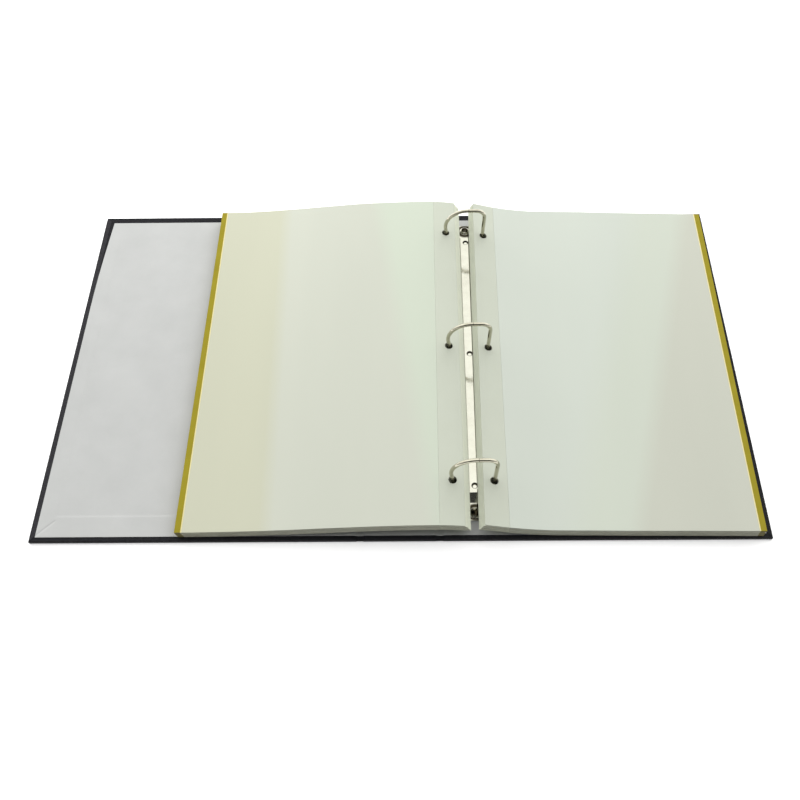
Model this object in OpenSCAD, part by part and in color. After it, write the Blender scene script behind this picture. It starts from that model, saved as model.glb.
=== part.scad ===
// Three-ring album binder lying open: a case-bound cover of three boards, a riveted
// D-ring mechanism on the back board, and two stacks of stiff leaves on the rings.
// Millimetres. X runs from the front board to the back board, Y away from the reader, Z up.
// The origin is on the underside, in the middle of the open cover.

/* [Cover] */
// Width of the open cover, fore edge to fore edge
cover_w = 490; // [484:1:520]
// Height of the cover, along the spine
cover_h = 288; // [286:1:300]
// Distance between the two hinge lines
spine_pitch = 52.8; // [52.8:0.1:55]
// Width of each hinge groove between two boards
groove_w = 7; // [7:0.1:8.5]
// Thickness of the grey boards
board_t = 2.2; // [1.8:0.1:2.2]
// Thickness of the leather-grain covering
skin_t = 0.5; // [0.4:0.05:0.6]
// Thickness of the lining paper
lining_t = 0.3; // [0.2:0.05:0.4]
// Width of the covering folded in over each edge
turn_in_w = 15; // [10:1:20]
// Covering left in view around the lining
lining_margin = 4; // [3:0.5:6]

/* [Ring mechanism] */
// Place of the middle of the ring plate along X
mech_x = 50.3; // [50.3:0.1:54]
// Distance between neighbouring rings
ring_pitch = 108; // [100:1:108]
// Diameter of the ring wire
wire_d = 2.8; // [2.4:0.1:2.9]
// Height of the wire's middle at the top of a ring
ring_top_z = 45.8; // [42:0.1:45.8]
// Radius of the large bend of a left half ring
left_bend_r = 17.4; // [16.5:0.1:17.4]
// Radius of the small bend of a right half ring
right_bend_r = 6.8; // [5:0.1:8]
// Width of the ring plate
plate_w = 32.5; // [32.5:0.1:33]
// Height of the plate's crown above the lining
plate_rise = 6.5; // [6.3:0.1:6.6]
// Sheet thickness of the ring plate
plate_t = 0.9; // [0.8:0.05:1]
// Length of the ring plate between the ends of its tabs
plate_l = 262; // [256:1:266]
// Distance between the two plate rivets
rivet_pitch = 251.6; // [246:0.2:252]

/* [Leaves] */
// Width of a leaf, with its binding strip and edge strip
leaf_w = 187; // [176:1:187]
// Height of a leaf, along the spine
leaf_h = 279.4; // [270:0.2:280]
// Thickness of a leaf
leaf_t = 1.04; // [0.8:0.01:1.1]
// Width of the punched binding strip
binding_w = 17.5; // [17:0.5:24]
// Width of the coloured strip along the outer edge
edge_w = 4; // [3:0.5:8]
// Diameter of a punched hole
hole_d = 5.6; // [5.6:0.1:6.4]
// Distance from a hole's middle to the leaf's inner edge
hole_edge = 8.5; // [7:0.1:9]

/* [Hidden] */
$fn = 64;
over = 1;

// Cover levels and edges
hinge_x = spine_pitch / 2;
board_in = hinge_x + groove_w / 2;
spine_half = hinge_x - groove_w / 2;
board_top = skin_t + board_t;
rim_top = board_top + skin_t;
lining_top = rim_top + lining_t;
hinge_inset = 1;
cloth_lift = 0.2;
cloth_t = 0.5;

// Ring plate
crown_z = lining_top + plate_rise;
crown_drop = 3.2;
crown_l = 226;
ramp_l = 6;
tab_w = 24;
tab_corner_r = 5;
dent_d = 4;
dent_depth = 0.7;
dent_t = 0.35;

// Hinge blades: each turns on a bead seated in the plate's side wall
pivot_u = plate_w / 2 - 1.15;
pivot_z = lining_top + 2.3;
bead_r = 0.5;
bead_play = 0.05;
blade_t = 1;
blade_l = 223;
blade_tilt = 3;
blade_gap = 0.15;

// Ring wires, in the plane of a ring: across the plate, then up
wire_r = wire_d / 2;
knuckle_r = wire_r + 0.04;
left_foot = [-13.4, crown_z - 2.25];
right_foot = [12.6, crown_z - 2.25];
left_bend = [1.2, ring_top_z - left_bend_r];
right_bend = [6.9, ring_top_z - right_bend_r];
tip_gap = 0.05;
dowel_r = 0.6;
dowel_play = 0.15;
dowel_l = 1.5;
foot_pin_r = 1;
foot_pin_play = 0.02;
foot_clinch_r = 1.5;
foot_clinch_t = 0.5;
aperture_r = wire_r + 0.5;

// Rivets
shank_r = 1.9;
shank_play = 0.05;
head_r = 4;
head_h = 1.7;
dimple_r = 1.9;
dimple_depth = 0.7;
tail_r = 3;
tail_t = 0.6;
washer_r = 5;
washer_t = 0.6;
washer_play = 0.1;

// Leaves
left_count = 7;
right_count = 8;
leaf_pitch = leaf_t + 0.04;
leaf_lift = 0.1;
// Curve of a stack: swell, its crest as a share of the leaf, curl of the inner edge, length of the curl
left_curve = [10.6, 0.88, -1.4, 20];
right_curve = [0, 1, 8.7, 55];
hole_shift = 0.25;
seam_gap = 0.15;
panel_steps = 20;
strip_steps = 5;

stations = [-ring_pitch, 0, ring_pitch];

// Point of a circle that a straight line from p touches; side picks one of the two
function touch_angle(p, c, r, side) =
    let (v = p - c) atan2(v[1], v[0]) + side * acos(r / norm(v));
function on_circle(c, r, a) = c + r * [cos(a), sin(a)];
left_touch = touch_angle(left_foot, left_bend, left_bend_r, -1);
right_touch = touch_angle(right_foot, right_bend, right_bend_r, 1);
left_knee = on_circle(left_bend, left_bend_r, left_touch);
right_knee = on_circle(right_bend, right_bend_r, right_touch);

// Place of a straight ring leg, across the plate, at a given height
function leg_u(foot, knee, z) = foot[0] + (knee[0] - foot[0]) * (z - foot[1]) / (knee[1] - foot[1]);

// Height of the underside of a stack at a distance s from its outer edge
function stack_z(s, curve) =
    let (swell = curve[0] * pow(sin(90 * s / (leaf_w * curve[1])), 2))
    let (curl = curve[2] * pow(max(0, 1 - (leaf_w - s) / curve[3]), 2))
    lining_top + leaf_lift + swell + curl;
// Height of the middle of leaf k at its holes
function hole_z(k, curve) = stack_z(leaf_w - hole_edge, curve) + (k + 0.5) * leaf_pitch;
// Middle of the holes of leaf k, which follow the lean of the ring leg
function left_hole_x(k) = mech_x + leg_u(left_foot, left_knee, hole_z(k, left_curve)) - hole_shift;
function right_hole_x(k) = mech_x + leg_u(right_foot, right_knee, hole_z(k, right_curve)) + hole_shift;

function two_digits(k) = str(k < 10 ? "0" : "", k);
left_leaves = [for (k = [1:left_count]) str("left_leaf_", two_digits(k))];
right_leaves = [for (k = [1:right_count]) str("right_leaf_", two_digits(k))];
places = ["near", "middle", "far"];
left_rings = [for (p = places) str("left_ring_", p)];
right_rings = [for (p = places) str("right_ring_", p)];

// Box between two X values and two Z values, as long as size_y and centred on Y
module slab(x0, x1, size_y, z0, z1) {
    translate([x0, -size_y / 2, z0]) cube([x1 - x0, size_y, z1 - z0]);
}

// Boards: grey card, one for each cover panel and one for the spine
module board(x0, x1) {
    color("dimgray") slab(x0, x1, cover_h - 2 * skin_t, skin_t, board_top);
}

module back_board() {
    difference() {
        board(board_in, cover_w / 2 - skin_t);
        at_rivets() cylinder(r = shank_r + shank_play, h = lining_top);
        at_rivets() translate([0, 0, -over])
            cylinder(r = washer_r + washer_play, h = over + skin_t + tail_t + washer_t);
    }
}

// Covering on one board: underside, turned edges and turn-ins; an edge at a hinge stays open
module covering(x0, x1, fold0, fold1) {
    inner0 = x0 + (fold0 ? skin_t : -over);
    inner1 = x1 - (fold1 ? skin_t : -over);
    open0 = x0 + (fold0 ? turn_in_w : -over);
    open1 = x1 - (fold1 ? turn_in_w : -over);
    color("#28263a") difference() {
        slab(x0, x1, cover_h, 0, rim_top);
        slab(inner0, inner1, cover_h - 2 * skin_t, skin_t, board_top);
        slab(open0, open1, cover_h - 2 * turn_in_w, board_top - skin_t / 2, rim_top + over);
    }
}

// Lining: the sheet over the turn-ins, with its middle pressed down onto the board
module lining(x0, x1, margin0, margin1, press0, press1) {
    color("gainsboro") {
        slab(x0 + margin0, x1 - margin1, cover_h - 2 * lining_margin, rim_top, lining_top);
        slab(x0 + press0, x1 - press1, cover_h - 2 * turn_in_w, board_top, lining_top);
    }
}

module back_lining() {
    difference() {
        lining(board_in, cover_w / 2, hinge_inset, lining_margin, hinge_inset, turn_in_w);
        at_rivets() cylinder(r = shank_r + shank_play, h = lining_top + over);
    }
}

// Covering and lining in a hinge groove, as straight strips; side is -1 at the front hinge
module hinge_covering(side) {
    color("#28263a") translate([side * hinge_x, 0, 0])
        slab(-groove_w / 2, groove_w / 2, cover_h, cloth_lift, cloth_lift + cloth_t);
}

module hinge_lining(side) {
    color("gainsboro") translate([side * hinge_x, 0, 0])
        slab(-groove_w / 2, groove_w / 2, cover_h - 2 * lining_margin,
            cloth_lift + cloth_t, cloth_lift + cloth_t + lining_t);
}

// Places of the two rivets, on the back board
module at_rivets() {
    for (side = [-1, 1])
        translate([mech_x, side * rivet_pitch / 2, 0]) children();
}

// Crowned bar with upright sides and ramped ends, inset all round by the given amount
module crowned_bar(inset) {
    half = plate_w / 2 - inset;
    r = (pow(plate_w / 2, 2) + pow(crown_drop, 2)) / (2 * crown_drop);
    ramp_angle = atan2(plate_rise, ramp_l);
    reach = plate_l;
    intersection() {
        slab(-half, half, crown_l + 2 * ramp_l, lining_top - (inset > 0 ? over : 0), crown_z);
        translate([0, 0, crown_z - r]) rotate([90, 0, 0])
            cylinder(r = r - inset, h = reach, center = true, $fn = 128);
        difference() {
            slab(-plate_w, plate_w, reach, 0, crown_z + over);
            for (turn = [0, 180])
                rotate([0, 0, turn])
                    translate([0, crown_l / 2 - inset / sin(ramp_angle), crown_z])
                        rotate([-ramp_angle, 0, 0])
                            translate([-plate_w, -over, 0]) cube([2 * plate_w, reach, reach]);
        }
    }
}

// Flat end tabs of the plate, with rounded corners
module plate_tabs() {
    for (turn = [0, 180])
        rotate([0, 0, turn]) translate([0, 0, lining_top]) {
            translate([-tab_w / 2, crown_l / 2, 0])
                cube([tab_w, plate_l / 2 - crown_l / 2 - tab_corner_r, plate_t]);
            translate([-tab_w / 2 + tab_corner_r, crown_l / 2, 0])
                cube([tab_w - 2 * tab_corner_r, (plate_l - crown_l) / 2, plate_t]);
            for (u = [-1, 1])
                translate([u * (tab_w / 2 - tab_corner_r), plate_l / 2 - tab_corner_r, 0])
                    cylinder(r = tab_corner_r, h = plate_t);
        }
}

// Ring plate: sprung crowned cover that holds the two hinge blades, with a pressed dent at each ring
module ring_plate() {
    color("silver") translate([mech_x, 0, 0]) difference() {
        union() {
            difference() {
                crowned_bar(0);
                crowned_bar(plate_t);
            }
            plate_tabs();
            for (y = stations) translate([0, y, crown_z - dent_depth - dent_t])
                cylinder(d = dent_d + 2 * dent_t, h = dent_depth);
        }
        for (u = [-pivot_u, pivot_u])
            translate([u, 0, pivot_z]) rotate([90, 0, 0])
                cylinder(r = bead_r + bead_play, h = blade_l + over, center = true);
        for (y = stations) translate([0, y, 0]) {
            translate([0, 0, crown_z - dent_depth]) cylinder(d = dent_d, h = plate_rise);
            for (foot = [left_foot, right_foot])
                translate([foot[0], 0, pivot_z + bead_r])
                    cylinder(r = aperture_r, h = plate_rise);
        }
        for (side = [-1, 1])
            translate([0, side * rivet_pitch / 2, 0]) cylinder(r = shank_r + shank_play, h = crown_z);
    }
}

// Rivets: dished dome head on the tab, shank through the board, clinched tail under it
module plate_rivets() {
    seat_z = lining_top + plate_t;
    dome_r = (pow(head_r, 2) + pow(head_h, 2)) / (2 * head_h);
    dish_r = (pow(dimple_r, 2) + pow(dimple_depth, 2)) / (2 * dimple_depth);
    dome_top = seat_z + head_h;
    color("silver") at_rivets() {
        difference() {
            intersection() {
                translate([0, 0, dome_top - dome_r]) sphere(r = dome_r);
                translate([0, 0, seat_z]) cylinder(r = head_r, h = head_h);
            }
            translate([0, 0, dome_top + dish_r - dimple_depth]) sphere(r = dish_r);
        }
        translate([0, 0, skin_t]) cylinder(r = shank_r, h = seat_z - skin_t);
        translate([0, 0, skin_t]) cylinder(r = tail_r, h = tail_t);
    }
}

// Washers between the rivet tails and the board
module rivet_washers() {
    color("gray") at_rivets() translate([0, 0, skin_t + tail_t]) difference() {
        cylinder(r = washer_r, h = washer_t);
        translate([0, 0, -over]) cylinder(r = shank_r + shank_play, h = washer_t + 2 * over);
    }
}

// Hinge blade: its bead runs in the plate's side wall, its inner edge meets the other blade
module hinge_blade(side, foot) {
    color("silver") translate([mech_x, 0, 0]) difference() {
        translate([side * pivot_u, 0, pivot_z]) {
            rotate([90, 0, 0]) cylinder(r = bead_r, h = blade_l, center = true);
            rotate([0, side * (180 - blade_tilt), 0]) mirror([side < 0 ? 1 : 0, 0, 0])
                slab(0, pivot_u - blade_gap, blade_l, -blade_t / 2, blade_t / 2);
        }
        for (y = stations)
            translate([foot[0], y, 0]) cylinder(r = foot_pin_r + foot_pin_play, h = crown_z);
    }
}

// Moves children drawn across and up into the upright plane of one ring
module ring_plane(y) {
    translate([mech_x, y, 0]) rotate([90, 0, 0]) children();
}

// Straight wire between two points of a ring's plane
module wire_bar(p, q) {
    v = q - p;
    translate([p[0], p[1], 0]) rotate([0, 0, atan2(v[1], v[0])]) rotate([0, 90, 0])
        cylinder(r = wire_r, h = norm(v));
}

// Slight swelling of the wire where a straight run meets a bend
module wire_knuckle(p) {
    translate([p[0], p[1], 0]) sphere(r = knuckle_r);
}

// Bent wire about a point of a ring's plane
module wire_bend(c, r, a0, a1) {
    translate([c[0], c[1], 0]) rotate([0, 0, a0])
        rotate_extrude(angle = a1 - a0, $fn = 96) translate([r, 0]) circle(r = wire_r);
}

// Foot of a half ring: the pin through the blade and its clinched end
module ring_foot(foot) {
    blade_low = pivot_z - blade_t / 2 - (pivot_u - abs(foot[0])) * tan(blade_tilt);
    pin_low = blade_low - foot_clinch_t - foot_clinch_r * tan(blade_tilt);
    wire_knuckle(foot);
    translate([foot[0], foot[1], 0]) rotate([90, 0, 0])
        cylinder(r = foot_pin_r, h = foot[1] - pin_low);
    translate([foot[0], pin_low + foot_clinch_t, 0]) rotate([90, 0, 0])
        cylinder(r = foot_clinch_r, h = foot_clinch_t);
}

// Left half ring: the leaning leg, the large bend and the dowel at its tip
module left_ring(y) {
    tip = [left_bend[0] - tip_gap, ring_top_z];
    color("gainsboro") ring_plane(y) {
        ring_foot(left_foot);
        wire_bar(left_foot, left_knee);
        wire_knuckle(left_knee);
        wire_bend(left_bend, left_bend_r, 90, 360 + left_touch);
        translate([tip[0] - dowel_l, tip[1], 0]) rotate([0, 90, 0])
            cylinder(r = dowel_r, h = 2 * dowel_l);
    }
}

// Right half ring: the straight post, the small bend, the flat top and the socket at its tip
module right_ring(y) {
    tip = [left_bend[0] + tip_gap, ring_top_z];
    color("gainsboro") ring_plane(y) {
        ring_foot(right_foot);
        wire_bar(right_foot, right_knee);
        wire_knuckle(right_knee);
        wire_bend(right_bend, right_bend_r, right_touch, 90);
        wire_knuckle([right_bend[0], ring_top_z]);
        difference() {
            wire_bar(tip, [right_bend[0], ring_top_z]);
            translate([tip[0] - over, tip[1], 0]) rotate([0, 90, 0])
                cylinder(r = dowel_r + dowel_play, h = over + dowel_l + 2 * dowel_play);
        }
    }
}

// Part of a leaf between two distances from its outer edge, lying along the stack's curve
module leaf_band(s0, s1, steps, k, curve) {
    low = [for (i = [0:steps]) let (s = s0 + (s1 - s0) * i / steps)
        [s, stack_z(s, curve) + k * leaf_pitch]];
    high = [for (i = [steps:-1:0]) low[i] + [0, leaf_t]];
    rotate([90, 0, 0]) linear_extrude(height = leaf_h, center = true) polygon(concat(low, high));
}

// Left leaf k counts up from the lowest one, and its outer edge points to the front board
module at_left_leaf(k) {
    translate([left_hole_x(k) + hole_edge - leaf_w, 0, 0]) children();
}

module at_right_leaf(k) {
    translate([right_hole_x(k) - hole_edge + leaf_w, 0, 0]) mirror([1, 0, 0]) children();
}

module leaf_panel(k, curve) {
    color("ivory") leaf_band(edge_w, leaf_w - binding_w - seam_gap, panel_steps, k, curve);
}

module edge_strip(k, curve) {
    color("darkkhaki") leaf_band(0, edge_w, 1, k, curve);
}

module binding_strip(k, curve) {
    color("white") difference() {
        leaf_band(leaf_w - binding_w, leaf_w, strip_steps, k, curve);
        for (y = stations)
            translate([leaf_w - hole_edge, y, 0]) cylinder(d = hole_d, h = ring_top_z);
    }
}

board(-cover_w / 2 + skin_t, -board_in);  // front_board
board(-spine_half, spine_half);  // spine_board
back_board();
covering(-cover_w / 2, -board_in, true, false);  // front_covering
covering(-spine_half, spine_half, false, false);  // spine_covering
covering(board_in, cover_w / 2, false, true);  // back_covering
lining(-cover_w / 2, -board_in, lining_margin, hinge_inset, turn_in_w, hinge_inset);  // front_lining
lining(-spine_half, spine_half, hinge_inset, hinge_inset, hinge_inset, hinge_inset);  // spine_lining
back_lining();
hinge_covering(-1);  // front_hinge_covering
hinge_covering(1);  // back_hinge_covering
hinge_lining(-1);  // front_hinge_lining
hinge_lining(1);  // back_hinge_lining
ring_plate();
plate_rivets();
rivet_washers();
hinge_blade(-1, left_foot);  // left_hinge_blade
hinge_blade(1, right_foot);  // right_hinge_blade
for (i = [0:2]) left_ring(stations[i]);
for (i = [0:2]) right_ring(stations[i]);
for (k = [0:left_count - 1])
    at_left_leaf(k) leaf_panel(k, left_curve);
for (k = [0:right_count - 1])
    at_right_leaf(k) leaf_panel(k, right_curve);
for (k = [0:left_count - 1]) at_left_leaf(k) binding_strip(k, left_curve);  // left_binding_strips
for (k = [0:right_count - 1]) at_right_leaf(k) binding_strip(k, right_curve);  // right_binding_strips
for (k = [0:left_count - 1]) at_left_leaf(k) edge_strip(k, left_curve);  // left_edge_strips
for (k = [0:right_count - 1]) at_right_leaf(k) edge_strip(k, right_curve);  // right_edge_strips
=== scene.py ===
"""Looks of an open three-ring album binder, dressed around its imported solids.

Lengths are metres in the frame of the solids: X from the front board to the back board, Y away
from the reader, Z up. The case, the ring mechanism and the two stacks of leaves are classes of
their own, and each finish is a small class that makes its node material.
"""

import logging
import math
import random
from dataclasses import dataclass, field
from enum import Enum
from typing import Callable, Sequence

import bmesh
import bpy
from mathutils import Matrix, Vector


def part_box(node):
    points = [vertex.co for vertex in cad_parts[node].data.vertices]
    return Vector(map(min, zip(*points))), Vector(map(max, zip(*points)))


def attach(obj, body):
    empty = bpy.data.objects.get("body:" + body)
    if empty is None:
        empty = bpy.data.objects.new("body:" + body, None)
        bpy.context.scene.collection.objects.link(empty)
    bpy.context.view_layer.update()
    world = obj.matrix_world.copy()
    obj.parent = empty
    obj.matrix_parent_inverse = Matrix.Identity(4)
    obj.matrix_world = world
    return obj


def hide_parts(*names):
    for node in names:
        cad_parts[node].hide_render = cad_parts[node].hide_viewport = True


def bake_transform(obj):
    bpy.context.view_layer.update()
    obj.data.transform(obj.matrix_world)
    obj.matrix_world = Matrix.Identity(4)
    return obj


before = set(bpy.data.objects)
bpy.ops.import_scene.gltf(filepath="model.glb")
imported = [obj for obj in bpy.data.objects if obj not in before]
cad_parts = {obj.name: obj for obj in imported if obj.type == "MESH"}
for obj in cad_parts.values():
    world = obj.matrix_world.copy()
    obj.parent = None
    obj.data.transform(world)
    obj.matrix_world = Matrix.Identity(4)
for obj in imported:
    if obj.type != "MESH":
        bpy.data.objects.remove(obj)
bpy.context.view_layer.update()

log = logging.getLogger("ring_album")

MM = 0.001

Colour = tuple[float, float, float, float]
Point2 = tuple[float, float]
Point3 = tuple[float, float, float]
Station = tuple[Point2, Point2, float]
Socket = bpy.types.NodeSocket
Spread = Callable[[float, float], Vector]

RING_PITCH = 108 * MM
CLOTH_TURN_IN = 15 * MM
LINING_NEAR_SHIFT = -0.9 * MM
LINING_FAR_SHIFT = -2.0 * MM
SHARP_ANGLE = 38.0
WELD_GAP = 0.001 * MM
SAME_LINE = 1e-6
SAME_POINT = 1e-7
RANGE_ENDS = ("From Min", "From Max", "To Min", "To Max")


class Side(Enum):
    """Side of the rings; the value points along X from a leaf's outer edge to the rings."""

    LEFT = 1
    RIGHT = -1


class RingPlace(Enum):
    """The three rings, by their place along the plate in ring pitches."""

    NEAR = -1
    MIDDLE = 0
    FAR = 1


class ForeEdge(Enum):
    """Side of a board on which its fore edge lies; the value is the direction along X."""

    LEFT = -1
    NONE = 0
    RIGHT = 1


class BendTurn(Enum):
    """Way in which a half ring's wire turns on its way up, as the reader sees it."""

    CLOCKWISE = -1
    ANTICLOCKWISE = 1


def srgb(red: int, green: int, blue: int) -> Colour:
    """Turn a colour as the eye names it, 0 to 255 a channel, into the linear colour of a shader.

    Args:
        red: Red channel, 0 to 255.
        green: Green channel, 0 to 255.
        blue: Blue channel, 0 to 255.

    Returns:
        The linear colour with full alpha.
    """

    def linear(channel: int) -> float:
        """Undo the display curve of one channel."""
        share = channel / 255
        return share / 12.92 if share <= 0.04045 else ((share + 0.055) / 1.055) ** 2.4

    return (linear(red), linear(green), linear(blue), 1.0)


def smooth_step(share: float) -> float:
    """Ease a share from 0 to 1, flat at both ends and clamped outside them."""
    held = min(max(share, 0.0), 1.0)
    return held * held * (3 - 2 * held)


def spaced(start: float, end: float, step: float) -> list[float]:
    """Evenly spaced values from start to end, about one step apart.

    Args:
        start: First value.
        end: Last value.
        step: Distance aimed at between neighbours.

    Returns:
        The values, with both ends among them.
    """
    count = max(1, round(abs(end - start) / step))
    return [start + (end - start) * i / count for i in range(count + 1)]


def merged(*runs: Sequence[float]) -> list[float]:
    """Join runs of values into one rising list in which no value comes twice."""
    values = sorted(value for run in runs for value in run)
    return [v for i, v in enumerate(values) if i == 0 or v - values[i - 1] > SAME_LINE]


def set_range(node: bpy.types.Node, ends: Sequence[float]) -> None:
    """Set the old range and the new range of a node that spreads values."""
    for key, number in zip(RANGE_ENDS, ends):
        node.inputs[key].default_value = number


class NodeSheet:
    """Builds one node material around its Principled shader."""

    def __init__(self, name: str) -> None:
        """Start an empty material.

        Args:
            name: Name of the material.
        """
        self.material = bpy.data.materials.new(name)
        self.material.use_nodes = True
        self.tree = self.material.node_tree
        self.shader = self.tree.nodes["Principled BSDF"]

    def add(self, kind: str, **settings: object) -> bpy.types.Node:
        """Add a node.

        Args:
            kind: Blender's name of the node type, without the leading ShaderNode.
            settings: Properties to set on the node.

        Returns:
            The new node.
        """
        node = self.tree.nodes.new("ShaderNode" + kind)
        for key, value in settings.items():
            setattr(node, key, value)
        return node

    def link(self, source: Socket, target: Socket) -> None:
        """Join an output to an input."""
        self.tree.links.new(source, target)

    def fix(self, **values: object) -> None:
        """Set constants on the shader's own sockets; an underscore stands for a space."""
        for key, value in values.items():
            self.shader.inputs[key.replace("_", " ")].default_value = value

    def coordinates(self, stretch: Point3 = (1, 1, 1)) -> Socket:
        """Place on the piece in metres, stretched along the axes.

        Args:
            stretch: Factor along each axis; a small one draws the pattern out along that axis.

        Returns:
            The vector output.
        """
        place = self.add("TexCoord").outputs["Object"]
        mapping = self.add("Mapping")
        mapping.inputs["Scale"].default_value = stretch
        self.link(place, mapping.inputs["Vector"])
        return mapping.outputs["Vector"]

    def noise(self, vector: Socket, size: float, detail: float = 3, rough: float = 0.5) -> Socket:
        """Cloudy noise from 0 to 1.

        Args:
            vector: Coordinates in metres.
            size: Size of one cloud in metres.
            detail: Octaves of finer noise.
            rough: Share of the finer octaves.

        Returns:
            The value output.
        """
        node = self.add("TexNoise")
        self.link(vector, node.inputs["Vector"])
        node.inputs["Scale"].default_value = 1 / size
        node.inputs["Detail"].default_value = detail
        node.inputs["Roughness"].default_value = rough
        return node.outputs["Fac"]

    def span(
        self,
        value: Socket,
        low: float,
        high: float,
        from_low: float = 0.0,
        from_high: float = 1.0,
    ) -> Socket:
        """Spread a value over a new range.

        Args:
            value: The value to spread.
            low: Result at from_low.
            high: Result at from_high.
            from_low: Lower end of the old range.
            from_high: Upper end of the old range.

        Returns:
            The value output.
        """
        node = self.add("MapRange")
        self.link(value, node.inputs["Value"])
        set_range(node, (from_low, from_high, low, high))
        return node.outputs["Result"]

    def mix(self, share: Socket, first: Colour | Socket, second: Colour | Socket) -> Socket:
        """Mix two colours.

        Args:
            share: Share of the second colour.
            first: Colour, or a socket that gives one.
            second: Colour, or a socket that gives one.

        Returns:
            The colour output.
        """
        node = self.add("Mix", data_type="RGBA")
        self.link(share, node.inputs["Factor"])
        for socket, colour in ((node.inputs[6], first), (node.inputs[7], second)):
            if isinstance(colour, Socket):
                self.link(colour, socket)
            else:
                socket.default_value = colour
        return node.outputs[2]

    def total(self, first: Socket, second: Socket, share: float) -> Socket:
        """Add a share of the second value to the first.

        Args:
            first: Value that counts in full.
            second: Value of which a share is added.
            share: The share.

        Returns:
            The value output.
        """
        node = self.add("Math", operation="MULTIPLY_ADD")
        self.link(second, node.inputs[0])
        node.inputs[1].default_value = share
        self.link(first, node.inputs[2])
        return node.outputs["Value"]

    def colour(self, source: Socket) -> None:
        """Drive the base colour."""
        self.link(source, self.shader.inputs["Base Color"])

    def roughness(self, source: Socket) -> None:
        """Drive the roughness."""
        self.link(source, self.shader.inputs["Roughness"])

    def relief(self, height: Socket, depth: float, strength: float = 1.0) -> None:
        """Drive the fine relief.

        Args:
            height: Height from 0 to 1.
            depth: Height of the relief in metres.
            strength: Share of the effect.
        """
        node = self.add("Bump")
        node.inputs["Distance"].default_value = depth
        node.inputs["Strength"].default_value = strength
        self.link(height, node.inputs["Height"])
        self.link(node.outputs["Normal"], self.shader.inputs["Normal"])


@dataclass(frozen=True)
class Finish:
    """A surface finish; subclasses say how its nodes are wired.

    Attributes:
        name: Name of the material.
    """

    name: str

    def material(self) -> bpy.types.Material:
        """Hand out the finish as a material, made at its first use.

        Returns:
            The material.
        """
        if self.name not in bpy.data.materials:
            self.build(NodeSheet(self.name))
        return bpy.data.materials[self.name]

    def build(self, sheet: NodeSheet) -> None:
        """Wire the nodes of the finish into an empty material."""
        raise NotImplementedError


@dataclass(frozen=True)
class LeatherCloth(Finish):
    """Dark pebbled leather-grain cloth of the case.

    Attributes:
        valley: Colour between the pebbles.
        crown: Colour on top of the pebbles.
        pebble: Size of a pebble.
        depth: Height of the grain.
        drift: Size of the slow clouds in the colour.
    """

    valley: Colour = srgb(3, 3, 6)
    crown: Colour = srgb(13, 12, 19)
    pebble: float = 1.1 * MM
    depth: float = 0.09 * MM
    drift: float = 34 * MM

    def build(self, sheet: NodeSheet) -> None:
        """Wire pebbles, fine pores and a slow drift of the colour.

        Args:
            sheet: The empty material.
        """
        place = sheet.coordinates()
        wobble = sheet.add("TexNoise")
        sheet.link(place, wobble.inputs["Vector"])
        wobble.inputs["Scale"].default_value = 0.6 / self.pebble
        shifted = sheet.add("VectorMath", operation="MULTIPLY_ADD")
        sheet.link(wobble.outputs["Color"], shifted.inputs[0])
        shifted.inputs[1].default_value = (self.pebble * 0.8,) * 3
        sheet.link(place, shifted.inputs[2])
        cells = sheet.add("TexVoronoi", feature="SMOOTH_F1")
        cells.inputs["Scale"].default_value = 1 / self.pebble
        cells.inputs["Smoothness"].default_value = 0.35
        sheet.link(shifted.outputs["Vector"], cells.inputs["Vector"])
        dome = sheet.span(cells.outputs["Distance"], 1.0, 0.0, 0.1, 0.75)
        pores = sheet.noise(place, self.pebble * 0.22, detail=4, rough=0.65)
        drift = sheet.noise(place, self.drift, detail=3, rough=0.6)
        tone = sheet.total(sheet.span(dome, 0.0, 0.75), drift, 0.35)
        sheet.colour(sheet.mix(tone, self.valley, self.crown))
        sheet.roughness(sheet.total(sheet.span(dome, 0.74, 0.58), pores, 0.12))
        sheet.relief(sheet.total(dome, pores, 0.22), self.depth, 0.8)
        sheet.fix(Specular_IOR_Level=0.3)


@dataclass(frozen=True)
class LiningPaper(Finish):
    """Pale uncoated paper with a faint formation cloud and long fibres.

    Attributes:
        base: Main colour.
        cloud: Colour of the clouds.
        cloud_size: Size of a cloud.
        fibre: Thickness of a fibre.
        depth: Height of the fibres.
    """

    base: Colour = srgb(172, 173, 171)
    cloud: Colour = srgb(165, 166, 164)
    cloud_size: float = 26 * MM
    fibre: float = 0.5 * MM
    depth: float = 0.02 * MM

    def build(self, sheet: NodeSheet) -> None:
        """Wire the clouded tone and the fibre relief.

        Args:
            sheet: The empty material.
        """
        place = sheet.coordinates()
        drawn = sheet.coordinates((1.0, 0.22, 1.0))
        cloud = sheet.noise(place, self.cloud_size, detail=5, rough=0.62)
        fibres = sheet.noise(drawn, self.fibre, detail=4, rough=0.7)
        tone = sheet.total(sheet.span(cloud, 0.0, 0.8, 0.3, 0.7), fibres, 0.3)
        sheet.colour(sheet.mix(tone, self.base, self.cloud))
        sheet.roughness(sheet.span(fibres, 0.62, 0.78))
        sheet.relief(fibres, self.depth, 0.55)
        sheet.fix(Specular_IOR_Level=0.3)


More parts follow.
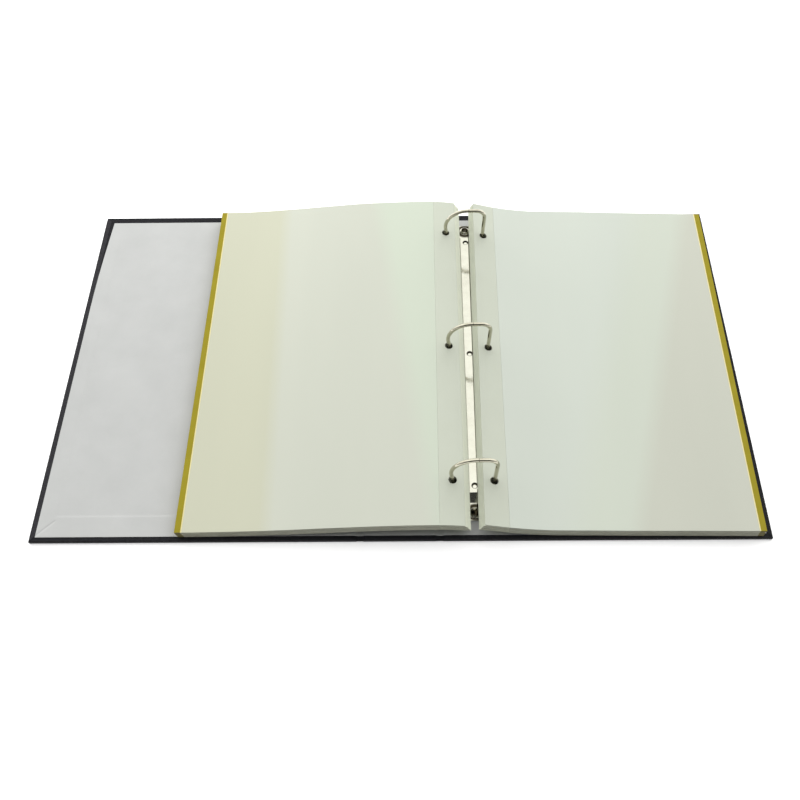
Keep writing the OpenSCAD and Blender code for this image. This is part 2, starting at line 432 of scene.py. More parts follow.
@dataclass(frozen=True)
class Nickel(Finish):
    """Bright nickel plating, with rolling marks along Y and a breath of haze.

    Attributes:
        bright: Colour of the clean plating.
        dull: Colour under the haze.
        smoothest: Roughness of the clean plating.
        roughest: Roughness under the haze.
        haze_size: Size of a patch of haze.
        mark_width: Width of a rolling mark.
        mark_depth: Depth of a rolling mark.
    """

    bright: Colour = srgb(209, 209, 194)
    dull: Colour = srgb(202, 201, 185)
    smoothest: float = 0.06
    roughest: float = 0.16
    haze_size: float = 9 * MM
    mark_width: float = 0.35 * MM
    mark_depth: float = 0.006 * MM

    def build(self, sheet: NodeSheet) -> None:
        """Wire the haze and the rolling marks.

        Args:
            sheet: The empty material.
        """
        place = sheet.coordinates()
        drawn = sheet.coordinates((1.0, 0.03, 1.0))
        haze = sheet.noise(place, self.haze_size, detail=4, rough=0.6)
        marks = sheet.noise(drawn, self.mark_width, detail=3, rough=0.6)
        sheet.colour(sheet.mix(sheet.span(haze, 0.0, 1.0, 0.35, 0.7), self.bright, self.dull))
        worn = sheet.span(haze, self.smoothest, self.roughest, 0.3, 0.75)
        sheet.roughness(sheet.total(worn, marks, 0.05))
        sheet.relief(marks, self.mark_depth, 0.35)
        sheet.fix(Metallic=1.0)


@dataclass(frozen=True)
class PaintedShadeMark:
    """Round mark of painted shade that repeats along the plate, standing in for the shadow in and
    round its hollows.

    Attributes:
        first: Place of one mark along Y.
        pitch: Distance between the marks.
        inner: Radius of the unshaded middle; below zero there is none.
        outer: Radius of the whole mark.
        sway: Shift of the unshaded middle along Y, which leaves a crescent of painted shade.
    """

    first: float
    pitch: float
    inner: float
    outer: float
    sway: float = 0.0


@dataclass(frozen=True)
class ShadePaintedNickel(Nickel):
    """Nickel with painted shade laid in and round its pressed hollows and rivets, where shadow
    falls.

    Attributes:
        marks: The marks of painted shade.
        middle: Place of the marks along X.
        painted_shade: Colour of the painted shade.
    """

    marks: tuple[PaintedShadeMark, ...] = ()
    middle: float = 50.3 * MM
    # Dark colour that paints in the shade of hollows and the shadow round rivets.
    painted_shade: Colour = srgb(46, 42, 30)

    def build(self, sheet: NodeSheet) -> None:
        """Wire the plating, then lay the marks of painted shade over it.

        Args:
            sheet: The empty material.
        """
        super().build(sheet)
        # Each mark mixes in dark painted shade over the plating.
        for mark in self.marks:
            plain = sheet.shader.inputs["Base Color"].links[0].from_socket
            sheet.colour(sheet.mix(self.share(sheet, mark), plain, self.painted_shade))

    def share(self, sheet: NodeSheet, mark: PaintedShadeMark) -> Socket:
        """Share of painted shade in a mark.

        Args:
            sheet: The material.
            mark: The mark.

        Returns:
            The value output, 0 to 1.
        """
        soft = 0.12 * mark.outer
        from_unshaded = self.reach(sheet, mark, mark.first + mark.sway)
        from_middle = self.reach(sheet, mark, mark.first)
        # Painted shade between the unshaded middle and the mark's outer radius.
        node = sheet.add("Math", operation="MULTIPLY")
        shaded = sheet.span(from_unshaded, 0.0, 1.0, mark.inner - soft, mark.inner + soft)
        sheet.link(shaded, node.inputs[0])
        within = sheet.span(from_middle, 1.0, 0.0, mark.outer - soft, mark.outer + soft)
        sheet.link(within, node.inputs[1])
        return node.outputs["Value"]

    def reach(self, sheet: NodeSheet, mark: PaintedShadeMark, centre: float) -> Socket:
        """Level distance from the nearest of a row of centres.

        Args:
            sheet: The material.
            mark: The mark, for its pitch.
            centre: Place of one centre along Y.

        Returns:
            The value output, in metres.
        """
        moved = sheet.add("Mapping")
        moved.inputs["Location"].default_value = (-self.middle, -centre, 0)
        sheet.link(sheet.coordinates(), moved.inputs["Vector"])
        # Wrapping along Y brings every mark of the row to the same centre.
        wrapped = sheet.add("VectorMath", operation="WRAP")
        wrapped.inputs[1].default_value = (1, mark.pitch / 2, 1)
        wrapped.inputs[2].default_value = (-1, -mark.pitch / 2, -1)
        sheet.link(moved.outputs["Vector"], wrapped.inputs[0])
        level = sheet.add("VectorMath", operation="MULTIPLY")
        level.inputs[1].default_value = (1, 1, 0)
        sheet.link(wrapped.outputs["Vector"], level.inputs[0])
        length = sheet.add("VectorMath", operation="LENGTH")
        sheet.link(level.outputs["Vector"], length.inputs[0])
        return length.outputs["Value"]


@dataclass(frozen=True)
class ToneEdge:
    """Slanted line across a leaf at which its tone changes.

    Attributes:
        place: Place along X at the middle of the leaf.
        lean: Shift along X for each metre along Y.
        softness: Half the width of the change; its sign is the side of the new tone.
    """

    place: float
    lean: float
    softness: float


@dataclass(frozen=True)
class LeafFilm(Finish):
    """Cream leaf under a clear glossy film bonded all over, with painted reflections in three tones
    across it, the outer one yellower.

    Attributes:
        outer_reflection_edge: Where the outer tone of the painted reflection ends.
        inner_reflection_edge: Where the tone of the painted reflection next to the binding starts.
        outer_reflection_tone: Painted reflection tone of the outer part.
        middle: Tone between the two lines.
        clear: Painted reflection tone of the part next to the binding.
        sheen_banding: Share by which the faint bands of painted sheen change the tone.
        band: Width of a band of painted sheen.
        grain: Size of the grain in the gloss.
        peel: Size of the orange-peel.
        peel_depth: Depth of the orange-peel.
    """

    outer_reflection_edge: ToneEdge
    inner_reflection_edge: ToneEdge
    outer_reflection_tone: Colour
    middle: Colour
    clear: Colour
    sheen_banding: float = 0.025
    band: float = 42 * MM
    grain: float = 0.7 * MM
    peel: float = 3.5 * MM
    peel_depth: float = 0.006 * MM

    def build(self, sheet: NodeSheet) -> None:
        """Wire the three painted reflection tones, faint bands of painted sheen along the leaf and
        the film's fine orange-peel.

        Args:
            sheet: The empty material.
        """
        place = sheet.coordinates()
        # Three tones of painted reflection across the film.
        tone = sheet.mix(self.step(sheet, place, self.outer_reflection_edge), self.outer_reflection_tone, self.middle)
        tone = sheet.mix(self.step(sheet, place, self.inner_reflection_edge), tone, self.clear)
        # Faint bands of painted sheen along the leaf.
        sheen_bands = sheet.noise(sheet.coordinates((1.0, 0.12, 1.0)), self.band, detail=2, rough=0.4)
        grain = sheet.noise(place, self.grain, detail=3, rough=0.6)
        lit = sheet.add("HueSaturation")
        sheet.link(tone, lit.inputs["Color"])
        gain = sheet.span(sheen_bands, 1 - self.sheen_banding, 1 + self.sheen_banding, 0.25, 0.75)
        sheet.link(gain, lit.inputs["Value"])
        sheet.colour(lit.outputs["Color"])
        sheet.roughness(sheet.span(grain, 0.4, 0.52))
        sheet.relief(sheet.noise(place, self.peel, detail=2, rough=0.5), self.peel_depth, 0.5)
        sheet.fix(Coat_Weight=0.85, Coat_Roughness=0.07)

    def step(self, sheet: NodeSheet, place: Socket, edge: ToneEdge) -> Socket:
        """Share of the new tone across an edge.

        Args:
            sheet: The material.
            place: Coordinates in metres.
            edge: The edge.

        Returns:
            The value output, 0 to 1.
        """
        across = sheet.add("SeparateXYZ")
        sheet.link(place, across.inputs["Vector"])
        upright = sheet.total(across.outputs["X"], across.outputs["Y"], -edge.lean)
        return sheet.span(upright, 0.0, 1.0, edge.place - edge.softness, edge.place + edge.softness)


@dataclass(frozen=True)
class CutCard(Finish):
    """Cut edge of a leaf: layered grey-olive card, its default tones darkened below the card's own
    colour to paint in the shade on the stacks' near faces.

    Attributes:
        light: Colour of the pale plies.
        dark: Colour of the dark plies.
        ply: Thickness of a ply.
        depth: Height of the plies' relief.
    """

    # Card plies, darkened as painted shade on the stacks' near faces.
    light: Colour = srgb(151, 151, 134)
    dark: Colour = srgb(114, 114, 101)
    ply: float = 0.24 * MM
    depth: float = 0.03 * MM

    def build(self, sheet: NodeSheet) -> None:
        """Wire the plies, drawn out along the cut.

        Args:
            sheet: The empty material.
        """
        drawn = sheet.coordinates((0.03, 0.03, 1.0))
        plies = sheet.noise(drawn, self.ply, detail=3, rough=0.6)
        sheet.colour(sheet.mix(sheet.span(plies, 0.0, 1.0, 0.35, 0.65), self.light, self.dark))
        sheet.roughness(sheet.span(plies, 0.7, 0.85))
        sheet.relief(plies, self.depth, 0.6)


@dataclass(frozen=True)
class BindingCard(Finish):
    """Pale flexible card of the punched strip, with a fine linen emboss.

    Attributes:
        base: Main colour.
        shade: Colour that it drifts to.
        thread: Width of a thread of the emboss.
        depth: Height of the emboss.
        drift: Size of the slow clouds in the colour.
    """

    base: Colour = srgb(175, 180, 166)
    shade: Colour = srgb(169, 173, 158)
    thread: float = 0.45 * MM
    depth: float = 0.02 * MM
    drift: float = 18 * MM

    def build(self, sheet: NodeSheet) -> None:
        """Wire the crossed threads and a slow drift of the tone.

        Args:
            sheet: The empty material.
        """
        place = sheet.coordinates()
        along = sheet.noise(sheet.coordinates((1.0, 0.1, 1.0)), self.thread, detail=2, rough=0.5)
        across = sheet.noise(sheet.coordinates((0.1, 1.0, 1.0)), self.thread, detail=2, rough=0.5)
        linen = sheet.total(along, across, 1.0)
        drift = sheet.noise(place, self.drift, detail=3, rough=0.6)
        tone = sheet.total(sheet.span(drift, 0.0, 0.7), linen, 0.15)
        sheet.colour(sheet.mix(tone, self.base, self.shade))
        sheet.roughness(sheet.span(linen, 0.42, 0.56, 0.6, 1.4))
        sheet.relief(linen, self.depth, 0.5)


@dataclass(frozen=True)
class EdgeTape(Finish):
    """Coloured cloth tape along an outer edge, with a fine rib across it.

    Attributes:
        base: Main colour.
        shade: Colour of the soiled parts.
        rib: Width of a rib.
        depth: Height of the ribs.
        soil_size: Size of a soiled patch.
    """

    base: Colour = srgb(140, 129, 34)
    shade: Colour = srgb(128, 117, 27)
    rib: float = 0.5 * MM
    depth: float = 0.03 * MM
    soil_size: float = 14 * MM

    def build(self, sheet: NodeSheet) -> None:
        """Wire the ribs, the threads and a slight soiling.

        Args:
            sheet: The empty material.
        """
        place = sheet.coordinates()
        ribs = sheet.noise(sheet.coordinates((0.15, 1.0, 1.0)), self.rib, detail=2, rough=0.5)
        soil = sheet.noise(place, self.soil_size, detail=4, rough=0.6)
        tone = sheet.total(sheet.span(soil, 0.0, 0.8, 0.3, 0.75), ribs, 0.35)
        sheet.colour(sheet.mix(tone, self.base, self.shade))
        sheet.roughness(sheet.span(ribs, 0.45, 0.6))
        sheet.relief(ribs, self.depth, 0.5)
        sheet.fix(Specular_IOR_Level=0.1)


@dataclass(frozen=True)
class GreyBoard(Finish):
    """Grey pulp board with dark flecks.

    Attributes:
        base: Main colour.
        fleck: Colour of the flecks.
        fleck_size: Size of a fleck.
        depth: Height of the pulp's relief.
    """

    base: Colour = srgb(132, 130, 124)
    fleck: Colour = srgb(96, 94, 90)
    fleck_size: float = 0.9 * MM
    depth: float = 0.05 * MM

    def build(self, sheet: NodeSheet) -> None:
        """Wire the flecks.

        Args:
            sheet: The empty material.
        """
        place = sheet.coordinates()
        flecks = sheet.noise(place, self.fleck_size, detail=5, rough=0.75)
        sheet.colour(sheet.mix(sheet.span(flecks, 0.0, 1.0, 0.4, 0.62), self.base, self.fleck))
        sheet.roughness(sheet.span(flecks, 0.8, 0.95))
        sheet.relief(flecks, self.depth, 0.6)


LEATHER = LeatherCloth("leather_grain_cloth")
# Paler copy of the leather for the fore-edge flap: painted light on its top face.
LIT_FLAP_LEATHER = LeatherCloth(
    "lit_flap_leather_grain_cloth", valley=srgb(24, 24, 27), crown=srgb(38, 37, 41)
)
PAPER = LiningPaper("pale_lining_paper")
# Painted shade: a dark crescent on the far side of each pressed dent over a ring.
DENT_SHADE = PaintedShadeMark(first=0.0, pitch=RING_PITCH, inner=1.35 * MM, outer=2.25 * MM, sway=-0.5 * MM)
# Painted shadow: a dark ring on the plate round each rivet head.
RIVET_SEAT_SHADOW = PaintedShadeMark(first=125 * MM, pitch=250 * MM, inner=3.2 * MM, outer=6.3 * MM)
# Painted shade: the dark middle of each rivet's dished head.
RIVET_HOLLOW_SHADE = PaintedShadeMark(first=125.8 * MM, pitch=251.6 * MM, inner=-0.5 * MM, outer=2.5 * MM)
# The plate carries painted shade in its dents and a painted shadow round its rivets.
PLATE_NICKEL = ShadePaintedNickel("plate_bright_nickel", marks=(DENT_SHADE, RIVET_SEAT_SHADOW))
BLADE_NICKEL = Nickel("blade_bright_nickel")
RING_NICKEL = Nickel(
    "ring_bright_nickel",
    bright=srgb(196, 193, 174),
    dull=srgb(178, 174, 156),
    smoothest=0.05,
    roughest=0.13,
)
# Rivet heads carry painted shade in their dished middles.
RIVET_NICKEL = ShadePaintedNickel(
    "rivet_bright_nickel",
    bright=srgb(198, 196, 182),
    dull=srgb(182, 179, 164),
    smoothest=0.1,
    roughest=0.22,
    marks=(RIVET_HOLLOW_SHADE,),
)
WASHER_STEEL = Nickel(
    "washer_dull_steel",
    bright=srgb(176, 176, 176),
    dull=srgb(150, 150, 152),
    smoothest=0.3,
    roughest=0.45,
)
# Each film's three tones are painted reflections.
LEFT_FILM = LeafFilm(
    "left_leaf_film",
    outer_reflection_edge=ToneEdge(place=-90.6 * MM, lean=-0.026, softness=5 * MM),
    inner_reflection_edge=ToneEdge(place=1.9 * MM, lean=-0.155, softness=7 * MM),
    outer_reflection_tone=srgb(168, 169, 147),
    middle=srgb(171, 174, 160),
    clear=srgb(171, 179, 162),
)
RIGHT_FILM = LeafFilm(
    "right_leaf_film",
    outer_reflection_edge=ToneEdge(place=191.8 * MM, lean=0.255, softness=-7 * MM),
    inner_reflection_edge=ToneEdge(place=150.9 * MM, lean=0.259, softness=-12 * MM),
    outer_reflection_tone=srgb(165, 167, 153),
    middle=srgb(169, 175, 161),
    clear=srgb(170, 176, 165),
)
CARD_EDGE = CutCard("cut_leaf_card")
BINDING = BindingCard("linen_binding_card")
# Paler copy of the binding card for the lower leaves' strips: painted light that lifts the shade of
# the narrow steps.
LIT_BINDING_EDGE = BindingCard(
    "binding_edge_painted_light", base=srgb(200, 204, 186), shade=srgb(192, 196, 177)
)
TAPE = EdgeTape("mustard_edge_tape")
# Dark olive copy of the tape for its cut ends: painted shade on the end faces.
SHADED_TAPE_END = CutCard("tape_end_painted_shade", light=srgb(104, 98, 54), dark=srgb(70, 66, 40))
TAPE_LINE = EdgeTape(
    "pale_tape_line", base=srgb(206, 198, 150), shade=srgb(196, 186, 134), rib=0.4 * MM
)
PULP_BOARD = GreyBoard("grey_pulp_board")


@dataclass
class MeshDraft:
    """Points and faces of a piece while it is being built.

    Attributes:
        points: Points in the frame.
        faces: Point numbers of each face.
        finish_of_face: Number of each face's finish.
    """

    points: list[Vector] = field(default_factory=list)
    faces: list[list[int]] = field(default_factory=list)
    finish_of_face: list[int] = field(default_factory=list)

    def add_face(self, corners: Sequence[int], finish: int) -> None:
        """Add one face."""
        self.faces.append(list(corners))
        self.finish_of_face.append(finish)

    def add_slab(
        self,
        flat: "FlatMesh",
        over: Spread,
        under: Spread,
        end_finish: int = 0,
        side_finish: int = 0,
        face_finish: int = 0,
    ) -> None:
        """Add a closed slab: a flat mesh spread over two surfaces, with walls between.

        Args:
            flat: The mesh in its own two directions.
            over: Gives the upper surface's point.
            under: Gives the lower surface's point.
            end_finish: Number of the finish on the walls, holes' walls among them.
            side_finish: Number of the finish on walls along the second direction.
            face_finish: Number of the finish on the two surfaces.
        """
        first = len(self.points)
        count = len(flat.points)
        self.points.extend(over(a, b) for a, b in flat.points)
        self.points.extend(under(a, b) for a, b in flat.points)
        for corners in flat.faces:
            self.add_face([first + i for i in corners], face_finish)
            self.add_face([first + count + i for i in reversed(corners)], face_finish)
        # Each edge of the rim becomes a wall between the two surfaces.
        for i, j in flat.rim():
            upright = abs(flat.points[i][0] - flat.points[j][0]) < SAME_POINT
            wall = [first + j, first + i, first + count + i, first + count + j]
            self.add_face(wall, side_finish if upright else end_finish)

    def add_rings(self, rings: Sequence[Sequence[Vector]]) -> None:
        """Add a closed tube through rings of as many points each, with both ends capped.

        Args:
            rings: The rings in order along the tube.
        """
        first = len(self.points)
        sides = len(rings[0])
        for ring in rings:
            self.points.extend(ring)
        for r in range(len(rings) - 1):
            low = first + r * sides
            for i in range(sides):
                j = (i + 1) % sides
                self.add_face([low + i, low + j, low + sides + j, low + sides + i], 0)
        last = first + (len(rings) - 1) * sides
        self.add_face([first + i for i in reversed(range(sides))], 0)
        self.add_face([last + i for i in range(sides)], 0)

    def piece(
        self, name: str, finishes: Sequence[Finish], sharp: float = SHARP_ANGLE
    ) -> bpy.types.Object:
        """Make the piece.

        Args:
            name: Name of the piece.
            finishes: Finishes in the order of their numbers.
            sharp: Edges over this many degrees are shaded sharp.

        Returns:
            The new object, linked to the scene.
        """
        mesh = bpy.data.meshes.new(name)
        mesh.from_pydata([tuple(p) for p in self.points], [], self.faces)
        mesh.polygons.foreach_set("material_index", self.finish_of_face)
        shape = bmesh.new()
        shape.from_mesh(mesh)
        bmesh.ops.recalc_face_normals(shape, faces=shape.faces[:])
        shape.to_mesh(mesh)
        shape.free()
        return placed(name, mesh, finishes, sharp)


def placed(
    name: str, mesh: bpy.types.Mesh, finishes: Sequence[Finish], sharp: float = SHARP_ANGLE
) -> bpy.types.Object:
    """Put a mesh into the scene as a dressed piece.

    Args:
        name: Name of the piece.
        mesh: Its mesh.
        finishes: Finishes in the order of the faces' numbers.
        sharp: Edges over this many degrees are shaded sharp.

    Returns:
        The new object.
    """
    for finish in finishes:
        mesh.materials.append(finish.material())
    mesh.shade_smooth()
    mesh.set_sharp_from_angle(angle=math.radians(sharp))
    piece = bpy.data.objects.new(name, mesh)
    bpy.context.scene.collection.objects.link(piece)
    return piece


def soften(piece: bpy.types.Object, width: float, segments: int = 2, angle: float = 50.0) -> None:
    """Round a piece's sharp edges a little.

    Args:
        piece: The piece.
        width: Width of the rounding.
        segments: Steps across it.
        angle: Edges over this many degrees are rounded.
    """
    bevel = piece.modifiers.new("softened_edges", "BEVEL")
    bevel.width = width
    bevel.segments = segments
    bevel.limit_method = "ANGLE"
    bevel.angle_limit = math.radians(angle)
    bevel.harden_normals = True


def carry(piece: bpy.types.Object, body: str) -> None:
    """Fix an added piece to a body.

    Args:
        piece: The piece.
        body: Body that carries it.
    """
    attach(piece, body)
    log.info("%s rides on %s", piece.name, body)


def stand_for(piece: bpy.types.Object, body: str, node: str) -> None:
    """Let a piece on a body stand for a node.

    Args:
        piece: The piece.
        body: Body that carries it.
        node: The node.
    """
    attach(piece, body)
    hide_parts(node)
    log.info("%s stands for %s", piece.name, node)


def dress(node: str, finish: Finish) -> None:
    """Give a node of the frame a finish.

    Args:
        node: Name of the node.
        finish: The finish.
    """
    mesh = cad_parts[node].data
    mesh.materials.clear()
    mesh.materials.append(finish.material())
    log.info("%s is finished in %s", node, finish.name)


@dataclass
class FlatMesh:
    """A mesh in two directions, to be spread over a surface.

    Attributes:
        points: Places in the two directions.
        faces: Point numbers of each face.
        known: Numbers of the points made so far, by their rounded places.
    """

    points: list[Point2] = field(default_factory=list)
    faces: list[list[int]] = field(default_factory=list)
    known: dict[tuple[int, int], int] = field(default_factory=dict)

    def point(self, a: float, b: float) -> int:
        """Find a point, or make it at its first use.

        Args:
            a: Place in the first direction.
            b: Place in the second direction.

        Returns:
            The point's number.
        """
        key = (round(a / SAME_POINT), round(b / SAME_POINT))
        if key not in self.known:
            self.known[key] = len(self.points)
            self.points.append((a, b))
        return self.known[key]

    def add_grid(self, a_lines: Sequence[float], b_lines: Sequence[float]) -> "FlatMesh":
        """Add a grid of four-sided faces.

        Args:
            a_lines: Rising places of the lines in the first direction.
            b_lines: Rising places of the lines in the second direction.

        Returns:
            This mesh.
        """
        for a0, a1 in zip(a_lines, a_lines[1:]):
            for b0, b1 in zip(b_lines, b_lines[1:]):
                corners = ((a0, b0), (a1, b0), (a1, b1), (a0, b1))
                self.faces.append([self.point(*c) for c in corners])
        return self

    def add_hole_patch(
        self, a_lines: Sequence[float], b_lines: Sequence[float], centre: Point2, radius: float
    ) -> None:
        """Add a rectangular patch with a round hole in it.

        Args:
            a_lines: Rising places of the points on the two edges along the first direction.
            b_lines: Rising places of the points on the two edges along the second direction.
            centre: Middle of the hole.
            radius: Radius of the hole.
        """
        loop = [(a, b_lines[0]) for a in a_lines]
        loop += [(a_lines[-1], b) for b in b_lines[1:]]
        loop += [(a, b_lines[-1]) for a in reversed(a_lines[:-1])]
        loop += [(a_lines[0], b) for b in reversed(b_lines[1:-1])]
        shares = (0.0, 0.16, 0.42, 0.7, 1.0)
        rings = []
        for share in shares:
            ring = []
            for a, b in loop:
                reach = math.hypot(a - centre[0], b - centre[1])
                near = radius / reach
                scale = near + (1 - near) * share
                moved = [mid + (end - mid) * scale for mid, end in zip(centre, (a, b))]
                ring.append(self.point(*moved))
            rings.append(ring)
        for inner, outer in zip(rings, rings[1:]):
            for i in range(len(loop)):
                j = (i + 1) % len(loop)
                self.faces.append([inner[i], outer[i], outer[j], inner[j]])

    def rim(self) -> list[tuple[int, int]]:
        """Find the edges that only one face has.

        Returns:
            Both point numbers of each edge, in that face's direction.
        """
        seen = set()
        for corners in self.faces:
            seen.update(zip(corners, corners[1:] + corners[:1]))
        return [edge for edge in sorted(seen) if (edge[1], edge[0]) not in seen]


def flat_panel(corners: Sequence[Point2]) -> FlatMesh:
    """A flat mesh of one face.

    Args:
        corners: Its corners in order.

    Returns:
        The mesh.
    """
    flat = FlatMesh()
    flat.faces.append([flat.point(*corner) for corner in corners])
    return flat


@dataclass
class CoverPanel:
    """One wrapped board of the case: the cloth around it, the lining on it and the board inside.

    Attributes:
        name: First word of the panel's nodes.
        body: Body that the panel belongs to.
        fore: Side of the fore edge; none where both long edges meet a hinge.
        dip: How far the lining sinks where no folded cloth lies under it.
        askew: How far the lining's far fore corner lies back from its straight place.
        flap: Finish of the fore-edge flap, a paler copy of the cloth that paints in the light
            falling on its top face.
        askew_width: Width of the lining's fore part that is drawn in.
        askew_start: Place along Y where the lining starts to be drawn in.
        askew_length: Length along Y over which the drawing in grows to its full size.
        fold_radius: Radius of the cloth's folds round the board.
        fold_steps: Flat steps round a fold.
        turn_in: Width of the cloth folded in at the fore edge.
        flap_lift: How far the fore-edge flap stands over the other folds.
        sheet: Thickness of the lining.
        step_width: Width of the lining's step at the edge of the folded cloth.
        far_step_width: Width of that step at the far end.
        near_shift: Shift of the lining's near edge along Y against the solid's.
        far_shift: Shift of the lining's far edge along Y against the solid's.
        seam_height: Height of the near corner's mitre seam; negative for a crease.
        seam_width: Distance over which the seam levels out at each side.
        seam_fade: Length over which the seam fades out inside the corner.
        end_turn_in: Width of the cloth folded in at head and tail.
        fine_step: Spacing of the mesh lines where the lining steps.
        coarse_step: Spacing of the mesh lines elsewhere.
    """

    name: str
    body: str
    fore: ForeEdge
    dip: float
    askew: float = 0.0
    flap: LeatherCloth = LEATHER
    askew_width: float = 14 * MM
    askew_start: float = 60 * MM
    askew_length: float = 80 * MM
    fold_radius: float = 0.6 * MM
    fold_steps: int = 5
    turn_in: float = CLOTH_TURN_IN
    flap_lift: float = 0.13 * MM
    sheet: float = 0.3 * MM
    step_width: float = 1.8 * MM
    far_step_width: float = 14 * MM
    near_shift: float = LINING_NEAR_SHIFT
    far_shift: float = LINING_FAR_SHIFT
    seam_height: float = -0.22 * MM
    seam_width: float = 0.6 * MM
    seam_fade: float = 2 * MM
    end_turn_in: float = 18 * MM
    fine_step: float = 0.45 * MM
    coarse_step: float = 7 * MM

    def build(self) -> None:
        """Build the covering and the lining, and dress the board."""
        dress(f"{self.name}_board", PULP_BOARD)
        self.build_covering()
        self.build_lining()

    def fore_edge(self) -> float:
        """Place of the fore edge, or of the right-hand edge where there is none."""
        low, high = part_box(f"{self.name}_covering")
        return low.x if self.fore is ForeEdge.LEFT else high.x

    def build_covering(self) -> None:
        """Wrap the board in cloth with rounded folds, and add the fore edge's mitred flap."""
        node = f"{self.name}_covering"
        low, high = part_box(node)
        shape = bmesh.new()
        shape.from_mesh(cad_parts[node].data)
        # The solid's triangles are joined into flat faces before the folds are rounded.
        bmesh.ops.remove_doubles(shape, verts=shape.verts[:], dist=WELD_GAP)
        bmesh.ops.dissolve_limit(
            shape, angle_limit=math.radians(1), verts=shape.verts[:], edges=shape.edges[:]
        )
        folds = [edge for edge in shape.edges if self.is_fold(edge, low, high)]
        bmesh.ops.bevel(
            shape, geom=folds, offset=self.fold_radius, offset_type="OFFSET",
            segments=self.fold_steps, profile=0.5, affect="EDGES",
        )
        mesh = bpy.data.meshes.new(node)
        shape.to_mesh(mesh)
        shape.free()
        piece = placed(f"{self.name}_cloth", mesh, [LEATHER])
        even = piece.modifiers.new("even_normals", "WEIGHTED_NORMAL")
        even.keep_sharp = True
        stand_for(piece, self.body, node)
        if self.fore is not ForeEdge.NONE:
            self.build_flap(low, high)

    def is_fold(self, edge: bmesh.types.BMEdge, low: Vector, high: Vector) -> bool:
        """Say whether the cloth turns round an edge of the panel's outer box.

        Args:
            edge: Edge of the covering.
            low: Lowest corner of the covering.
            high: Highest corner of the covering.

        Returns:
            True where a level edge lies on two of the box's turned faces.
        """
        near = 0.01 * MM
        has_fore = self.fore is not ForeEdge.NONE

        def faces(point: Vector) -> set[str]:
            """Find the turned faces of the box that a point lies on.

            Args:
                point: End of an edge.

            Returns:
                The names of the faces.
            """
            tests = {
                "fore": has_fore and abs(point.x - self.fore_edge()) < near,
                "near": abs(point.y - low.y) < near,
                "far": abs(point.y - high.y) < near,
                "under": abs(point.z - low.z) < near,
                "top": abs(point.z - high.z) < near,
            }
            return {name for name, on in tests.items() if on}

        first, second = (vert.co for vert in edge.verts)
        shared = faces(first) & faces(second)
        return len(shared) >= 2 and bool(shared & {"under", "top"})

    def build_flap(self, low: Vector, high: Vector) -> None:
        """Lay the fore-edge flap over the head and tail folds, cut on the mitre at both corners.

        Args:
            low: Lowest corner of the covering.
            high: Highest corner of the covering.
        """
        edge = self.fore_edge()
        outwards = self.fore.value
        outer = self.fold_radius
        inner = abs(edge - self.lining_fore())
        corners = [
            (edge - outwards * outer, low.y + outer),
            (edge - outwards * inner, low.y + inner),
            (edge - outwards * inner, high.y - inner),
            (edge - outwards * outer, high.y - outer),
        ]
        draft = MeshDraft()
        draft.add_slab(
            flat_panel(corners),
            lambda x, y: Vector((x, y, high.z + self.flap_lift)),
            lambda x, y: Vector((x, y, high.z - self.flap_lift)),
        )
        piece = draft.piece(f"{self.name}_mitred_flap", [self.flap])
        soften(piece, self.flap_lift * 0.8)
        carry(piece, self.body)

    def lining_fore(self) -> float:
        """Place of the lining's edge on the fore side."""
        low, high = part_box(f"{self.name}_lining")
        return low.x if self.fore is ForeEdge.LEFT else high.x

    def build_lining(self) -> None:
        """Build the lining: a sheet that sinks inside the folds and shows the near mitre."""
        node = f"{self.name}_lining"
        low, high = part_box(node)
        fine, coarse = self.fine_step, self.coarse_step
        band = self.end_turn_in + self.step_width
        cover_low, cover_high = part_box(f"{self.name}_covering")
        near, far = low.y + self.near_shift, high.y + self.far_shift
        y_lines = merged(
            spaced(near, cover_low.y + band, fine),
            spaced(cover_low.y + band, cover_high.y - band, coarse),
            spaced(cover_high.y - band, far, fine),
        )
        if self.fore is ForeEdge.LEFT:
            fold = cover_low.x + band
            x_lines = merged(spaced(low.x, fold, fine), spaced(fold, high.x, coarse))
        elif self.fore is ForeEdge.RIGHT:
            fold = cover_high.x - band
            x_lines = merged(spaced(low.x, fold, coarse), spaced(fold, high.x, fine))
        else:
            x_lines = spaced(low.x, high.x, coarse)
        top = high.z

        def over(x: float, y: float) -> Vector:
            """Upper face of the sheet."""
            height = top + self.relief(x, y, cover_low, cover_high)
            return Vector((x + self.draw_in(x, y), y, height))

        def under(x: float, y: float) -> Vector:
            """Lower face of the sheet."""
            return over(x, y) - Vector((0, 0, self.sheet))

        draft = MeshDraft()
        draft.add_slab(FlatMesh().add_grid(x_lines, y_lines), over, under)
        piece = draft.piece(f"{self.name}_lining_sheet", [PAPER])
        stand_for(piece, self.body, node)

    def draw_in(self, x: float, y: float) -> float:
        """Find how far the lining is drawn in near its far fore corner.

        Args:
            x: Place along X.
            y: Place along Y.

        Returns:
            The shift along X.
        """
        share = 1 - smooth_step(abs(x - self.lining_fore()) / self.askew_width)
        growth = max(0.0, (y - self.askew_start) / self.askew_length) ** 1.5
        return -self.fore.value * self.askew * share * growth

    def relief(self, x: float, y: float, low: Vector, high: Vector) -> float:
        """Height of the lining against its level over the folded cloth.

        Args:
            x: Place along X.
            y: Place along Y.
            low: Lowest corner of the covering.
            high: Highest corner of the covering.

        Returns:
            The height, negative where the sheet sinks.
        """
        from_near = y - low.y
        has_fore = self.fore is not ForeEdge.NONE
        from_fore = abs(x - self.fore_edge()) if has_fore else math.inf
        inside = min(from_near - self.end_turn_in, from_fore - self.turn_in)
